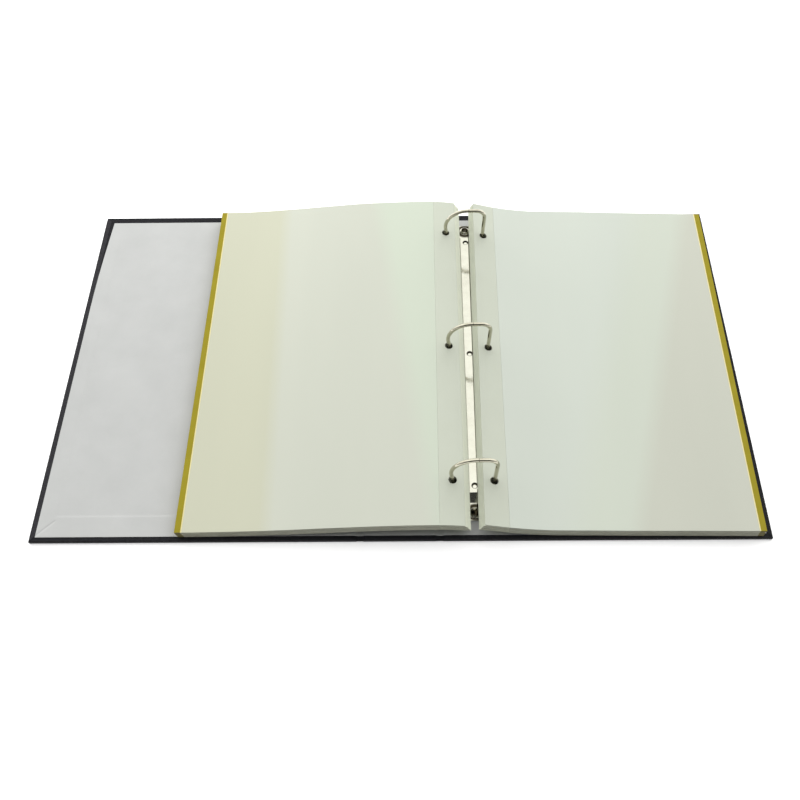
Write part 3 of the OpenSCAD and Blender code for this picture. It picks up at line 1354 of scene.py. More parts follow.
        # At the far end the lining eases down over a wider step, so that no line shows there.
        from_far_fold = high.y - y - self.end_turn_in + self.step_width / 2
        share = min(0.5 + inside / self.step_width, from_far_fold / self.far_step_width)
        sunk = self.dip * smooth_step(share)
        if not has_fore:
            return -sunk
        off_mitre = abs(from_near - from_fore) / math.sqrt(2)
        to_corner = self.turn_in - max(from_near, from_fore)
        on_corner = smooth_step(0.5 + to_corner / self.seam_fade)
        seam = self.seam_height * math.exp(-((off_mitre / self.seam_width) ** 2)) * on_corner
        return seam - sunk


@dataclass
class CoverHinge:
    """Cloth and paper in one hinge groove between the two bodies.

    Attributes:
        name: First word of the hinge's nodes.
        left_body: Body on the side of lower X.
        right_body: Body on the side of higher X.
        cloth: Thickness of the cloth.
        paper: Thickness of the paper.
        press: How far the cloth is pressed up into the groove from outside.
        paper_clear: Gap between the cloth and the paper.
        near_shift: Shift of the paper's near end along Y against the solid's.
        far_shift: Shift of the paper's far end along Y against the solid's.
        floor_half: Half the width of the groove's flat floor.
        fold_dip: Depth of the groove where folded cloth fills it at head and tail.
        turn_in: Length of the cloth folded in at head and tail.
        lap: Width of the paper that lies on each neighbour's lining.
        step: Spacing of the mesh lines across the groove.
        fold_step: Spacing of the mesh lines along it where the cloth is folded.
        long_step: Spacing of the mesh lines along it elsewhere.
        fold_fade: Length over which the fold's thickness sets in.
        crease: Rounding of the cloth's edges.
        sharp: Edges over this many degrees are sharp.
        middle: Middle of the groove along X, from the frame.
        half: Half the width of the groove, from the frame.
        rim: Height of the boards' cloth beside the groove, from the frame.
        fold_start: Place along Y where the folded cloth starts, from the frame.
    """

    name: str
    left_body: str
    right_body: str
    cloth: float = 0.5 * MM
    paper: float = 0.3 * MM
    press: float = 0.75 * MM
    paper_clear: float = 0.06 * MM
    near_shift: float = LINING_NEAR_SHIFT
    far_shift: float = LINING_FAR_SHIFT
    floor_half: float = 1.5 * MM
    fold_dip: float = 0.8 * MM
    turn_in: float = CLOTH_TURN_IN
    lap: float = 1 * MM
    step: float = 0.5 * MM
    fold_step: float = 1.2 * MM
    long_step: float = 12 * MM
    fold_fade: float = 2.5 * MM
    crease: float = 0.3 * MM
    sharp: float = 60.0
    middle: float = field(init=False)
    half: float = field(init=False)
    rim: float = field(init=False)
    fold_start: float = field(init=False)

    def build(self) -> None:
        """Build both strips."""
        low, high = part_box(f"{self.name}_hinge_covering")
        self.middle = (low.x + high.x) / 2
        self.half = (high.x - low.x) / 2
        self.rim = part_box("spine_covering")[1].z
        self.fold_start = high.y - self.turn_in
        self.build_cloth(low, high)
        self.build_paper()

    def groove(self, x: float) -> float:
        """Share of the way up from the groove's floor to the boards, at a place across it."""
        off_floor = abs(x - self.middle) - self.floor_half
        return smooth_step(off_floor / (self.half - self.floor_half))

    def along(self, end: float) -> list[float]:
        """Lines along Y up to both ends, closer where the cloth is folded.

        Args:
            end: Far end of the strip; the near end lies opposite.

        Returns:
            The places of the lines.
        """
        fold = self.fold_start
        return merged(
            spaced(-end, -fold, self.fold_step),
            spaced(-fold, fold, self.long_step),
            spaced(fold, end, self.fold_step),
        )

    def cloth_top(self, x: float, y: float) -> float:
        """Height of the cloth's inner face.

        Args:
            x: Place along X.
            y: Place along Y.

        Returns:
            The height: one layer, or the folded layers that fill the groove at head and tail.
        """
        single = self.press * (1 - self.groove(x)) + self.cloth
        folded = self.rim - self.fold_dip * (1 - self.groove(x))
        share = smooth_step((abs(y) - self.fold_start) / self.fold_fade)
        return single + (folded - single) * share

    def build_cloth(self, low: Vector, high: Vector) -> None:
        """Build the cloth, pressed into the groove and folded back at head and tail.

        Args:
            low: Lowest corner of the cloth's node.
            high: Highest corner of the cloth's node.
        """
        node = f"{self.name}_hinge_covering"
        x_lines = spaced(low.x, high.x, self.step)
        y_lines = self.along(high.y)

        def under(x: float, y: float) -> Vector:
            """Outer face of the cloth."""
            return Vector((x, y, self.press * (1 - self.groove(x))))

        def over(x: float, y: float) -> Vector:
            """Inner face of the cloth."""
            return Vector((x, y, self.cloth_top(x, y)))

        draft = MeshDraft()
        draft.add_slab(FlatMesh().add_grid(x_lines, y_lines), over, under)
        piece = draft.piece(f"{self.name}_hinge_cloth", [LEATHER], self.sharp)
        soften(piece, self.crease, segments=3, angle=self.sharp)
        self.finish_piece(piece, node)

    def build_paper(self) -> None:
        """Build the lining strip, which follows the cloth down and laps onto both linings."""
        node = f"{self.name}_hinge_lining"
        low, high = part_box(node)
        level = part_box("spine_lining")[1].z
        cover = self.paper_clear + self.paper
        x_lines = spaced(low.x - self.lap, high.x + self.lap, self.step)
        y_lines = [y + (self.near_shift if y < 0 else self.far_shift) for y in self.along(high.y)]

        def over(x: float, y: float) -> Vector:
            """Upper face of the paper."""
            floor = self.cloth_top(self.middle, y) + cover
            return Vector((x, y, floor + (level - floor) * self.groove(x)))

        def under(x: float, y: float) -> Vector:
            """Lower face of the paper."""
            return over(x, y) - Vector((0, 0, self.paper))

        draft = MeshDraft()
        draft.add_slab(FlatMesh().add_grid(x_lines, y_lines), over, under)
        piece = draft.piece(f"{self.name}_hinge_paper", [PAPER], self.sharp)
        self.finish_piece(piece, node)

    def finish_piece(self, piece: bpy.types.Object, node: str) -> None:
        """Fix a strip in the frame and let it stand for its node.

        Args:
            piece: The strip.
            node: The node.
        """
        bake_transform(piece)
        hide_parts(node)
        log.info("%s bends between %s and %s", piece.name, self.left_body, self.right_body)


@dataclass
class HalfRing:
    """Shape of a half ring in its own upright plane: across the plate, then up.

    Attributes:
        foot: Where the wire meets its pin.
        bend: Middle of the bend.
        radius: Radius of the bend, to the middle of the wire.
        tip: Place across the plate where the two halves meet.
        turn: Way in which the wire turns on its way up.
        wire: Radius of the wire.
        pin: Radius of the pin through the hinge blade.
        clinch: Radius of the pin's clinched head.
        clinch_height: Height of the clinched head.
        pin_length: Length of the pin with its head.
        chamfer: Chamfer at the tip.
        dowel: Radius of the dowel at the left half's tip.
        dowel_length: Length of the dowel.
        dowel_nose: Length of the dowel's tapered nose.
        socket: Radius of the socket in the right half's tip.
        socket_depth: Depth of the socket.
        arc_steps: Straight steps round the bend.
    """

    foot: Point2
    bend: Point2
    radius: float
    tip: float
    turn: BendTurn
    wire: float = 1.4 * MM
    pin: float = 1.0 * MM
    clinch: float = 1.5 * MM
    clinch_height: float = 0.5 * MM
    pin_length: float = 3.4 * MM
    chamfer: float = 0.22 * MM
    dowel: float = 0.6 * MM
    dowel_length: float = 1.5 * MM
    dowel_nose: float = 0.3 * MM
    socket: float = 0.75 * MM
    socket_depth: float = 1.8 * MM
    arc_steps: int = 40

    def knee_angle(self) -> float:
        """Angle on the bend's circle where the straight leg from the foot touches it."""
        u, z = self.foot[0] - self.bend[0], self.foot[1] - self.bend[1]
        return math.atan2(z, u) + self.turn.value * math.acos(self.radius / math.hypot(u, z))

    def line(self) -> list[Station]:
        """Middle line of the half ring from the clinched pin to its tip.

        Returns:
            For each station its place, its direction and the wire's radius there.
        """
        u, z = self.foot
        low = z - self.pin_length
        neck = low + self.clinch_height
        shoulder = self.wire * 0.4
        up = (0.0, 1.0)
        rows = [((u, low), up, self.clinch), ((u, neck), up, self.clinch)]
        rows += [((u, neck), up, self.pin), ((u, z - shoulder), up, self.pin)]
        start = self.knee_angle()
        end = math.pi / 2
        # The bend ends at the top of its circle, reached in the direction of its turn.
        while self.turn.value * (end - start) < 0:
            end += self.turn.value * 2 * math.pi
        lean = self.heading(start)
        under_foot = (u - lean[0] * shoulder, z - lean[1] * shoulder)
        rows += [(under_foot, lean, self.wire * 0.9), ((u, z), lean, self.wire)]
        for i in range(self.arc_steps + 1):
            angle = start + (end - start) * i / self.arc_steps
            place = (
                self.bend[0] + self.radius * math.cos(angle),
                self.bend[1] + self.radius * math.sin(angle),
            )
            rows.append((place, self.heading(angle), self.wire))
        return rows + self.tip_rows()

    def heading(self, angle: float) -> Point2:
        """Direction of travel on the bend's circle at an angle."""
        return (-self.turn.value * math.sin(angle), self.turn.value * math.cos(angle))

    def tip_rows(self) -> list[Station]:
        """Lay out the tip: a chamfer, then a dowel on the left half or a socket in the right half.

        Returns:
            The stations, as the middle line has them.
        """
        top = self.bend[1] + self.radius
        along = -self.turn.value
        ahead = (float(along), 0.0)

        def at(reach: float, radius: float) -> Station:
            """Station on the level run, measured from the tip."""
            return ((self.tip + along * reach, top), ahead, radius)

        rows = [at(-self.chamfer, self.wire), at(0.0, self.wire - self.chamfer)]
        if along > 0:
            rows += [at(0.0, self.dowel), at(self.dowel_length - self.dowel_nose, self.dowel)]
            rows += [at(self.dowel_length, self.dowel * 0.6)]
        else:
            rows += [at(0.0, self.socket), at(-self.socket_depth, self.socket * 0.98)]
        return rows


@dataclass
class RingMechanism:
    """Riveted plate, hinge blades and three split D-rings.

    Attributes:
        pitch: Distance between neighbouring rings.
        wire_sides: Flat sides round the wire.
        plate_rounding: Rounding of the plate's edges.
        rivet_rounding: Rounding of the rivets' edges.
        pressed_angle: Edges of the plate and rivets over this many degrees are rounded.
        left: Shape of the left half rings, with a leaning leg and a large bend.
        right: Shape of the right half rings, with a steep post and a small bend.
    """

    pitch: float = RING_PITCH
    wire_sides: int = 28
    plate_rounding: float = 0.14 * MM
    rivet_rounding: float = 0.15 * MM
    pressed_angle: float = 25.0
    left: HalfRing = field(
        default_factory=lambda: HalfRing(
            foot=(-13.4 * MM, 7.75 * MM),
            bend=(1.2 * MM, 28.4 * MM),
            radius=17.4 * MM,
            tip=1.15 * MM,
            turn=BendTurn.CLOCKWISE,
        )
    )
    right: HalfRing = field(
        default_factory=lambda: HalfRing(
            foot=(12.6 * MM, 7.75 * MM),
            bend=(6.9 * MM, 39.0 * MM),
            radius=6.8 * MM,
            tip=1.25 * MM,
            turn=BendTurn.ANTICLOCKWISE,
        )
    )

    def build(self) -> None:
        """Dress the plate, rivets, washers and blades, and build the six half rings."""
        dress("ring_plate", PLATE_NICKEL)
        self.round_edges("ring_plate", self.plate_rounding)
        dress("plate_rivets", RIVET_NICKEL)
        self.round_edges("plate_rivets", self.rivet_rounding)
        dress("rivet_washers", WASHER_STEEL)
        dress("left_hinge_blade", BLADE_NICKEL)
        dress("right_hinge_blade", BLADE_NICKEL)
        low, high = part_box("ring_plate")
        middle = (low.x + high.x) / 2
        for place in RingPlace:
            for side, half in ((Side.LEFT, self.left), (Side.RIGHT, self.right)):
                self.build_half(side, half, place, middle)

    def round_edges(self, node: str, width: float) -> None:
        """Round the pressed edges of a metal node.

        Args:
            node: Name of the node.
            width: Width of the rounding.
        """
        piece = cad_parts[node]
        weld = piece.modifiers.new("joined_faces", "WELD")
        weld.merge_threshold = WELD_GAP
        soften(piece, width, segments=3, angle=self.pressed_angle)
        even = piece.modifiers.new("even_normals", "WEIGHTED_NORMAL")
        even.keep_sharp = False

    def build_half(self, side: Side, half: HalfRing, place: RingPlace, middle: float) -> None:
        """Build one half ring as a round wire.

        Args:
            side: Side of the half ring.
            half: Its shape.
            place: Which ring it belongs to.
            middle: Place of the plate's middle line along X.
        """
        word, at = side.name.lower(), place.name.lower()
        y = place.value * self.pitch
        rings = []
        for (u, z), (du, dz), radius in half.line():
            ring = []
            for i in range(self.wire_sides):
                turn = 2 * math.pi * i / self.wire_sides
                out, aside = radius * math.cos(turn), radius * math.sin(turn)
                ring.append(Vector((middle + u - dz * out, y + aside, z + du * out)))
            rings.append(ring)
        draft = MeshDraft()
        draft.add_rings(rings)
        piece = draft.piece(f"{word}_half_ring_{at}", [RING_NICKEL])
        stand_for(piece, f"{word}_half_rings", f"{word}_ring_{at}")


@dataclass(frozen=True)
class StackCurve:
    """Way a stack lies: a long swell, a curled inner edge, and its slew on the rings.

    Attributes:
        swell: Height of the swell's crest.
        crest: Place of the crest, as a share of the leaf's width from the outer edge.
        curl: Rise of the inner edge; negative where the edge droops.
        curl_length: Width of the part that curls.
        twist: How much higher the far end of the crest lies than the near end.
        turn: Angle by which the stack has turned about the rings, in radians.
        skew: Shift along Y for each metre outwards from the holes.
        slip: Shift along Y of the whole stack.
        fan: Further turn of the outer edge, in radians.
        stretch: Width against the solids, outwards from the holes.
        flare: Further share of the height that the outer edge has gained.
    """

    swell: float
    crest: float
    curl: float
    curl_length: float
    twist: float
    turn: float
    skew: float
    slip: float
    fan: float
    stretch: float
    flare: float


STACK_SEEDS = {Side.LEFT: 11, Side.RIGHT: 23}
LEFT_CURVE = StackCurve(
    swell=10.6 * MM,
    crest=0.88,
    curl=-1.4 * MM,
    curl_length=20 * MM,
    twist=3.4 * MM,
    turn=0.0045,
    skew=0.0075,
    slip=-0.5 * MM,
    fan=-0.0024,
    stretch=1.021,
    flare=0.006,
)
RIGHT_CURVE = StackCurve(
    swell=0.0,
    crest=1.0,
    curl=8.7 * MM,
    curl_length=55 * MM,
    twist=1.0 * MM,
    turn=-0.0045,
    skew=-0.0165,
    slip=-0.5 * MM,
    fan=-0.0026,
    stretch=0.985,
    flare=-0.013,
)


@dataclass
class LeafStack:
    """A stack of filmed leaves, each with a punched binding strip and a coloured edge strip.

    Attributes:
        side: Which stack it is.
        body: Body that carries it.
        count: Number of leaves.
        curve: How it lies.
        film: Finish of its panels.
        width: Width of a leaf with both its strips.
        height: Height of a leaf, along Y.
        pitch: Rise from one leaf to the next.
        thick: Thickness of a panel.
        lift: Gap between the lining and the lowest leaf.
        binding: Width of the punched strip.
        binding_thick: Thickness of the punched strip.
        binding_sink: How far the punched strip's top lies under the panel's.
        edge: Width of the coloured tape.
        line: Width of the pale line beside the tape.
        hole: Radius of a hole.
        hole_edge: Distance from a hole's middle to the inner edge.
        hole_pitch: Distance between neighbouring holes.
        stagger: Further reach of each lower leaf's punched strip.
        draw_back: How far the top leaf's punched strip falls short of its full width.
        slip: Largest random shift of a leaf along X and along Y.
        ripple: Height of the film's waves on the top leaf.
        ripple_length: Length of the long waves.
        twist_share: Share of the width over which the stack's twist sets in.
        seam: Gap between the panel and the punched strip.
        tape_proud: How far the tape stands over both faces of its leaf.
        line_proud: How far the pale line stands over the film.
        line_sink: How far the pale line reaches down into the panel.
        panel_step: Spacing of the panel's mesh lines, across it.
        panel_rows: Spacing of the panel's mesh lines, along Y.
        tape_step: Spacing of the tape's mesh lines, across it.
        tape_rows: Spacing of the tape's mesh lines, along Y.
        strip_step: Spacing of the punched strip's mesh lines, across it.
        strip_rows: Spacing of the punched strip's mesh lines, along Y.
        patch_half: Half the length of the mesh patch round a hole, along Y.
        patch_rows: Spacing of the points on that patch's edges, along Y.
        panel_rounding: Rounding of the panel's edges.
        tape_rounding: Rounding of the tape's edges.
        line_rounding: Rounding of the pale line's edges.
        strip_rounding: Rounding of the punched strip's edges.
        word: First word of the stack's nodes.
        level: Height of the lining under the stack, from the frame.
        shifts: Shift of each leaf along X and along Y.
    """

    side: Side
    body: str
    count: int
    curve: StackCurve
    film: LeafFilm
    width: float = 187 * MM
    height: float = 281.4 * MM
    pitch: float = 1.08 * MM
    thick: float = 0.98 * MM
    lift: float = 0.1 * MM
    binding: float = 17.5 * MM
    binding_thick: float = 0.8 * MM
    binding_sink: float = 0.05 * MM
    edge: float = 4 * MM
    line: float = 0.75 * MM
    hole: float = 2.8 * MM
    hole_edge: float = 8.5 * MM
    hole_pitch: float = RING_PITCH
    stagger: float = 0.48 * MM
    draw_back: float = 1.0 * MM
    slip: float = 0.22 * MM
    ripple: float = 0.13 * MM
    ripple_length: float = 64 * MM
    twist_share: float = 0.6
    seam: float = 0.02 * MM
    tape_proud: float = 0.02 * MM
    line_proud: float = 0.05 * MM
    line_sink: float = 0.1 * MM
    panel_step: float = 2.6 * MM
    panel_rows: float = 7 * MM
    tape_step: float = 1 * MM
    tape_rows: float = 14 * MM
    strip_step: float = 1.7 * MM
    strip_rows: float = 8 * MM
    patch_half: float = 7 * MM
    patch_rows: float = 1.2 * MM
    panel_rounding: float = 0.1 * MM
    tape_rounding: float = 0.16 * MM
    line_rounding: float = 0.03 * MM
    strip_rounding: float = 0.08 * MM
    word: str = field(init=False)
    level: float = field(init=False)
    shifts: list[Point2] = field(init=False)

    def build(self) -> None:
        """Build every leaf, then the strips that the leaves share nodes for."""
        self.word = self.side.name.lower()
        self.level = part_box("back_lining")[1].z
        draw = random.Random(STACK_SEEDS[self.side])
        self.shifts = [
            (draw.uniform(-1, 1) * self.slip, draw.uniform(-1, 1) * self.slip)
            for _ in range(self.count)
        ]
        self.shifts[-1] = (0.0, 0.0)
        for k in range(self.count):
            self.build_panel(k)
        self.build_edges()
        self.build_lines()
        self.build_binding()

    def node(self, k: int) -> str:
        """Name of the node of leaf k, counted from the lowest one."""
        return f"{self.word}_leaf_{k + 1:02d}"

    def along(self, step: float) -> list[float]:
        """Lines along Y over a leaf's height, about one step apart."""
        return spaced(-self.height / 2, self.height / 2, step)

    def outer(self, k: int) -> float:
        """Place of leaf k's outer edge along X."""
        low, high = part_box(self.node(k))
        return low.x - self.edge if self.side is Side.LEFT else high.x + self.edge

    def underside(self, s: float, y: float) -> float:
        """Height of the stack's underside.

        Args:
            s: Distance from the outer edge.
            y: Place along Y.

        Returns:
            The height.
        """
        curve = self.curve
        share = math.sin(math.pi / 2 * s / (self.width * curve.crest)) ** 2
        bend = max(0.0, 1 - (self.width - s) / curve.curl_length) ** 2
        lean = curve.twist * y / self.height * smooth_step(s / (self.twist_share * self.width))
        return self.level + self.lift + curve.swell * share + curve.curl * bend + lean

    def waves(self, s: float, y: float) -> float:
        """Shape the shallow waves of the film between the two strips.

        Args:
            s: Distance from the outer edge.
            y: Place along Y.

        Returns:
            The height as a share of the ripple, from about -1 to 1.
        """
        inner = self.width - self.binding
        share = min(max((s - self.edge) / (inner - self.edge), 0.0), 1.0)
        hold = math.sin(math.pi * share) ** 0.7 if 0 < share < 1 else 0.0
        lean = s + 0.16 * y * self.side.value
        long = math.sin(2 * math.pi * lean / self.ripple_length + 0.6)
        short = math.sin(2 * math.pi * (lean + 0.3 * y) / (self.ripple_length * 0.47) + 2.1)
        slow = math.sin(2 * math.pi * y / (self.height * 1.3) + 1.2)
        return hold * (0.6 * long + 0.25 * short + 0.35 * slow)

    def top(self, k: int, s: float, y: float) -> float:
        """Height of the upper face of leaf k."""
        wave = self.ripple * ((k + 1) / self.count) * self.waves(s, y)
        return self.underside(s, y) + k * self.pitch + self.thick + wave

    def spread(self, k: int, drop: float = 0.0, reach: float = 0.0) -> Spread:
        """Surface of leaf k at some depth below its upper face.

        Args:
            k: Leaf, counted from the lowest one.
            drop: Depth below the upper face.
            reach: Extra length at the inner edge.

        Returns:
            A function from the distance to the outer edge and the place along Y to the point.
        """
        outer = self.outer(k)
        dx, dy = self.shifts[k]
        inner = self.width - self.hole_edge + self.hole
        lie = self.curve

        def point(s: float, y: float) -> Vector:
            """Place one point of the surface.

            Args:
                s: Distance from the outer edge.
                y: Place along Y.

            Returns:
                The point.
            """
            drawn = s + reach * smooth_step((s - inner) / (self.width - inner))
            out = self.width - self.hole_edge - s
            # Only the part outwards from the holes is stretched, fanned and flared.
            x = outer + self.side.value * (drawn + max(out, 0.0) * (1 - lie.stretch))
            x += dx - (lie.turn + lie.fan * max(out, 0.0) / self.width) * y
            slew = lie.slip - self.side.value * lie.turn * out + lie.skew * abs(out)
            grown = y * (1 + lie.flare * max(out, 0.0) / self.width)
            return Vector((x, grown + dy + slew, self.top(k, s, y) - drop))

        return point

    def build_panel(self, k: int) -> None:
        """Build the filmed panel of a leaf.

        Args:
            k: Leaf, counted from the lowest one.
        """
        inner = self.width - self.binding - self.seam
        flat = FlatMesh().add_grid(
            spaced(self.edge, inner, self.panel_step), self.along(self.panel_rows)
        )
        draft = MeshDraft()
        over, under = self.spread(k), self.spread(k, self.thick)
        draft.add_slab(flat, over, under, end_finish=1, side_finish=1)
        piece = draft.piece(f"{self.word}_leaf_panel_{k + 1:02d}", [self.film, CARD_EDGE])
        soften(piece, self.panel_rounding)
        stand_for(piece, self.body, self.node(k))

    def build_edges(self) -> None:
        """Build the coloured tape along the outer edge of every leaf."""
        s_lines = spaced(0.0, self.edge, self.tape_step)
        flat = FlatMesh().add_grid(s_lines, self.along(self.tape_rows))
        draft = MeshDraft()
        for k in range(self.count):
            over = self.spread(k, -self.tape_proud)
            under = self.spread(k, self.thick + self.tape_proud)
            # The tape's near and far end faces take the dark copy: painted shade.
            draft.add_slab(flat, over, under, end_finish=1)
        piece = draft.piece(f"{self.word}_edge_tape", [TAPE, SHADED_TAPE_END])
        soften(piece, self.tape_rounding)
        stand_for(piece, self.body, f"{self.word}_edge_strips")

    def build_lines(self) -> None:
        """Build the pale line where the top leaf's film meets its tape."""
        top = self.count - 1
        s_lines = [self.edge, self.edge + self.line]
        flat = FlatMesh().add_grid(s_lines, self.along(self.tape_rows))
        draft = MeshDraft()
        draft.add_slab(flat, self.spread(top, -self.line_proud), self.spread(top, self.line_sink))
        piece = draft.piece(f"{self.word}_tape_line", [TAPE_LINE])
        soften(piece, self.line_rounding)
        carry(piece, self.body)

    def build_binding(self) -> None:
        """Build the punched strips; the lower leaves reach further in, as in a slipped stack."""
        flat = self.punched_strip()
        draft = MeshDraft()
        for k in range(self.count):
            reach = (self.count - 1 - k) * self.stagger - self.draw_back
            over = self.spread(k, self.binding_sink, reach)
            under = self.spread(k, self.binding_sink + self.binding_thick, reach)
            # The lower leaves' strips and all strip walls take the paler copy: painted light.
            face = 0 if k == self.count - 1 else 2
            draft.add_slab(flat, over, under, end_finish=1, side_finish=2, face_finish=face)
        piece = draft.piece(f"{self.word}_punched_binding", [BINDING, CARD_EDGE, LIT_BINDING_EDGE])
        soften(piece, self.strip_rounding)
        stand_for(piece, self.body, f"{self.word}_binding_strips")

    def punched_strip(self) -> FlatMesh:
        """Flat mesh of a binding strip with its three holes.

        Returns:
            The mesh, by distance from the leaf's outer edge and place along Y.
        """
        flat = FlatMesh()
        s_lines = spaced(self.width - self.binding, self.width, self.strip_step)
        half = self.height / 2
        centres = [place.value * self.hole_pitch for place in RingPlace]
        bounds = [-half]
        for y in centres:
            low, high = y - self.patch_half, y + self.patch_half
            bounds += [low, high]
            hole = (self.width - self.hole_edge, y)
            flat.add_hole_patch(s_lines, spaced(low, high, self.patch_rows), hole, self.hole)
        bounds.append(half)
        for start, end in zip(bounds[::2], bounds[1::2]):
            flat.add_grid(s_lines, spaced(start, end, self.strip_rows))
        return flat


@dataclass
class SoftBox:
    """A soft rectangular lamp.

    Attributes:
        name: Name of the lamp.
        place: Where it hangs.
        aim: Point that it faces.
        size: Its width and height.
        watts: Its power.
        mirrored: Whether shiny pieces mirror it.
    """

    name: str
    place: Point3
    aim: Point3
    size: Point2
    watts: float
    mirrored: bool

    def build(self) -> None:
        """Hang the lamp."""
        lamp = bpy.data.lights.new(self.name, "AREA")
        lamp.shape = "RECTANGLE"
        lamp.size, lamp.size_y = self.size
        lamp.energy = self.watts
        holder = bpy.data.objects.new(self.name, lamp)
        holder.location = self.place
        holder.visible_glossy = self.mirrored
        towards = Vector(self.aim) - Vector(self.place)
        holder.rotation_euler = towards.to_track_quat("-Z", "Y").to_euler()
        bpy.context.scene.collection.objects.link(holder)


@dataclass
class Viewpoint:
    """Camera of the photograph, from a fit to the album's corners, holes and rings.

    Attributes:
        place: Where the camera stands.
        pitch: Downward tilt in degrees.
        yaw: Turn to the right in degrees.
        roll: Roll about the line of sight in degrees; positive lifts the right-hand side.
        focal_px: Focal length in pixels.
        image_px: Side of the square picture in pixels.
        centre_px: Where the line of sight meets the picture, from its upper left corner.
        sensor: Width of the sensor in millimetres.
        nearest: Distance at which the camera starts to see, in metres.
    """

    place: Point3 = (0.0179, -0.37979, 0.55321)
    pitch: float = 57.822
    yaw: float = -0.682
    roll: float = -0.963
    focal_px: float = 900.0
    image_px: float = 800.0
    centre_px: Point2 = (420.21, 397.65)
    sensor: float = 36.0
    nearest: float = 0.01

    def build(self) -> None:
        """Set up the camera and make it the scene's own."""
        pitch, yaw, roll = (math.radians(a) for a in (self.pitch, self.yaw, self.roll))
        flat = math.cos(pitch)
        ahead = Vector((flat * math.sin(yaw), flat * math.cos(yaw), -math.sin(pitch)))
        level = Vector((math.cos(yaw), -math.sin(yaw), 0.0))
        upward = level.cross(ahead)
        right = math.cos(roll) * level + math.sin(roll) * upward
        up = math.cos(roll) * upward - math.sin(roll) * level
        camera = bpy.data.cameras.new("photograph_view")
        camera.sensor_width = self.sensor
        camera.lens = self.focal_px * self.sensor / self.image_px
        camera.shift_x = (self.image_px / 2 - self.centre_px[0]) / self.image_px
        camera.shift_y = (self.centre_px[1] - self.image_px / 2) / self.image_px
        camera.clip_start = self.nearest
        holder = bpy.data.objects.new("photograph_view", camera)
        turn = Matrix((right, up, -ahead)).transposed().to_4x4()
        holder.matrix_world = Matrix.Translation(self.place) @ turn
        bpy.context.scene.collection.objects.link(holder)
        bpy.context.scene.camera = holder


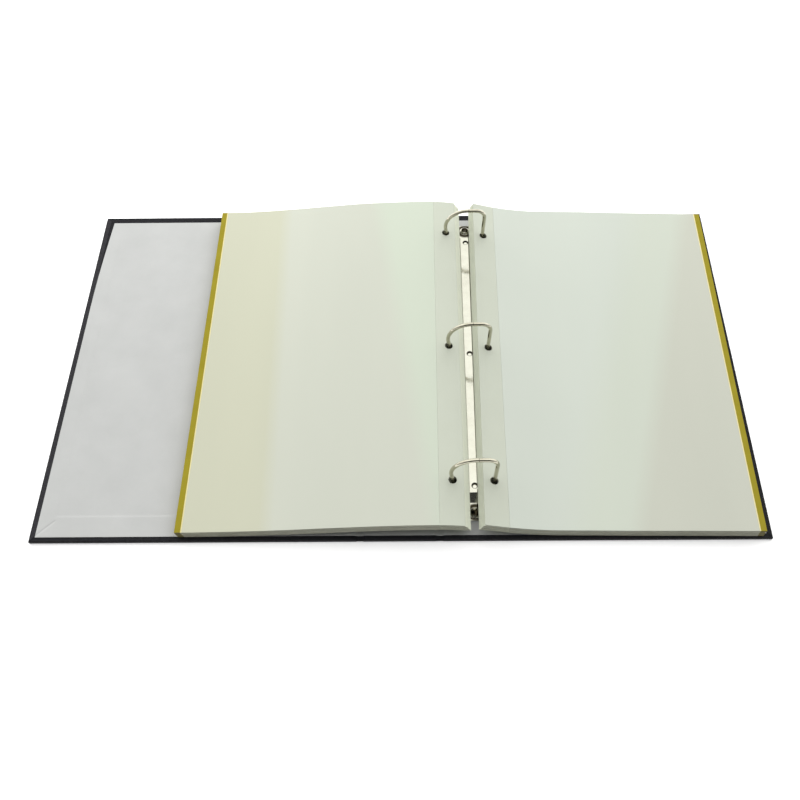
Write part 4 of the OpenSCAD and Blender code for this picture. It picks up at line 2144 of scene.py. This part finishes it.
@dataclass
class Studio:
    """White floor, soft boxes, and a room with a bright far side and a dark near side.

    Attributes:
        floor_half: Half the side of the square floor.
        floor_tone: Colour of the floor.
        floor_glow: Strength of the floor's own glow.
        floor_gap: Gap between the floor and the album.
        bright: Strength of the room's light on the far side.
        dark: Strength of the room's light on the near side.
        sides: Strength that the walls at both sides add.
        brightest: Direction of the brightest part of the room.
        far_fade: Cosines to that direction between which the far side's light grows.
        side_fade: Shares of X between which the side walls' light grows.
        lamps: The soft boxes.
    """

    floor_half: float = 3.0
    floor_tone: Colour = srgb(247, 247, 247)
    floor_glow: float = 0.3
    floor_gap: float = 0.05 * MM
    bright: float = 1.5
    dark: float = 0.06
    sides: float = 0.6
    brightest: Point3 = (0.0, 0.82, 0.57)
    far_fade: Point2 = (0.0, 0.7)
    side_fade: Point2 = (0.35, 0.9)
    lamps: tuple[SoftBox, ...] = (
        SoftBox(
            "far_softbox",
            place=(-0.18, 0.95, 0.42),
            aim=(0.0, 0.0, 0.0),
            size=(1.7, 0.3),
            watts=15.3,
            mirrored=False,
        ),
        SoftBox(
            "high_softbox",
            place=(0.03, -0.15, 1.1),
            aim=(0.03, -0.1, 0.0),
            size=(2.0, 0.8),
            watts=2.55,
            mirrored=True,
        ),
    )

    def build(self) -> None:
        """Build the floor, the room and the lamps."""
        self.build_floor()
        self.build_room()
        for lamp in self.lamps:
            lamp.build()
        view = bpy.context.scene.view_settings
        view.view_transform = "Standard"
        view.look = "None"

    def build_floor(self) -> None:
        """Lay the floor just under the album."""
        half = self.floor_half
        mesh = bpy.data.meshes.new("studio_floor")
        corners = [(-half, -half, 0), (half, -half, 0), (half, half, 0), (-half, half, 0)]
        mesh.from_pydata(corners, [], [(0, 1, 2, 3)])
        sheet = NodeSheet("studio_floor_white")
        sheet.fix(Base_Color=self.floor_tone, Roughness=0.9, Specular_IOR_Level=0.1)
        sheet.fix(Emission_Color=self.floor_tone, Emission_Strength=self.floor_glow)
        mesh.materials.append(sheet.material)
        floor = bpy.data.objects.new("studio_floor", mesh)
        floor.location.z = -self.floor_gap
        bpy.context.scene.collection.objects.link(floor)

    def build_room(self) -> None:
        """Wire the room's light: a bright far side that fades away, and pale walls at the sides."""
        world = bpy.data.worlds.new("studio_room")
        world.use_nodes = True
        bpy.context.scene.world = world
        tree = world.node_tree
        place = tree.nodes.new("ShaderNodeTexCoord")
        facing = tree.nodes.new("ShaderNodeVectorMath")
        facing.operation = "DOT_PRODUCT"
        facing.inputs[1].default_value = self.brightest
        tree.links.new(place.outputs["Generated"], facing.inputs[0])
        across = tree.nodes.new("ShaderNodeVectorMath")
        across.operation = "ABSOLUTE"
        tree.links.new(place.outputs["Generated"], across.inputs[0])
        split = tree.nodes.new("ShaderNodeSeparateXYZ")
        tree.links.new(across.outputs["Vector"], split.inputs["Vector"])
        total = tree.nodes.new("ShaderNodeMath")
        far_ends = (*self.far_fade, self.dark, self.bright)
        side_ends = (*self.side_fade, 0.0, self.sides)
        for socket, value, ends in (
            (total.inputs[0], facing.outputs["Value"], far_ends),
            (total.inputs[1], split.outputs["X"], side_ends),
        ):
            climb = tree.nodes.new("ShaderNodeMapRange")
            climb.interpolation_type = "SMOOTHSTEP"
            set_range(climb, ends)
            tree.links.new(value, climb.inputs["Value"])
            tree.links.new(climb.outputs["Result"], socket)
        tree.links.new(total.outputs["Value"], tree.nodes["Background"].inputs["Strength"])
        tree.nodes["Background"].inputs["Color"].default_value = (1, 1, 1, 1)


def main() -> None:
    """Build the album's sub-assemblies in order, then the studio."""
    logging.basicConfig(level=logging.INFO)
    Viewpoint().build()
    for panel in (
        CoverPanel(
            "front",
            "front_cover",
            ForeEdge.LEFT,
            dip=0.14 * MM,
            askew=3.2 * MM,
            flap=LIT_FLAP_LEATHER,
        ),
        CoverPanel("spine", "spine", ForeEdge.NONE, dip=0.0),
        CoverPanel("back", "back_cover", ForeEdge.RIGHT, dip=0.06 * MM),
    ):
        panel.build()
    CoverHinge("front", "front_cover", "spine").build()
    CoverHinge("back", "spine", "back_cover").build()
    RingMechanism().build()
    LeafStack(Side.LEFT, "left_leaves", 7, LEFT_CURVE, LEFT_FILM).build()
    LeafStack(Side.RIGHT, "back_cover", 8, RIGHT_CURVE, RIGHT_FILM).build()
    Studio().build()


if __name__ == "__main__":
    main()
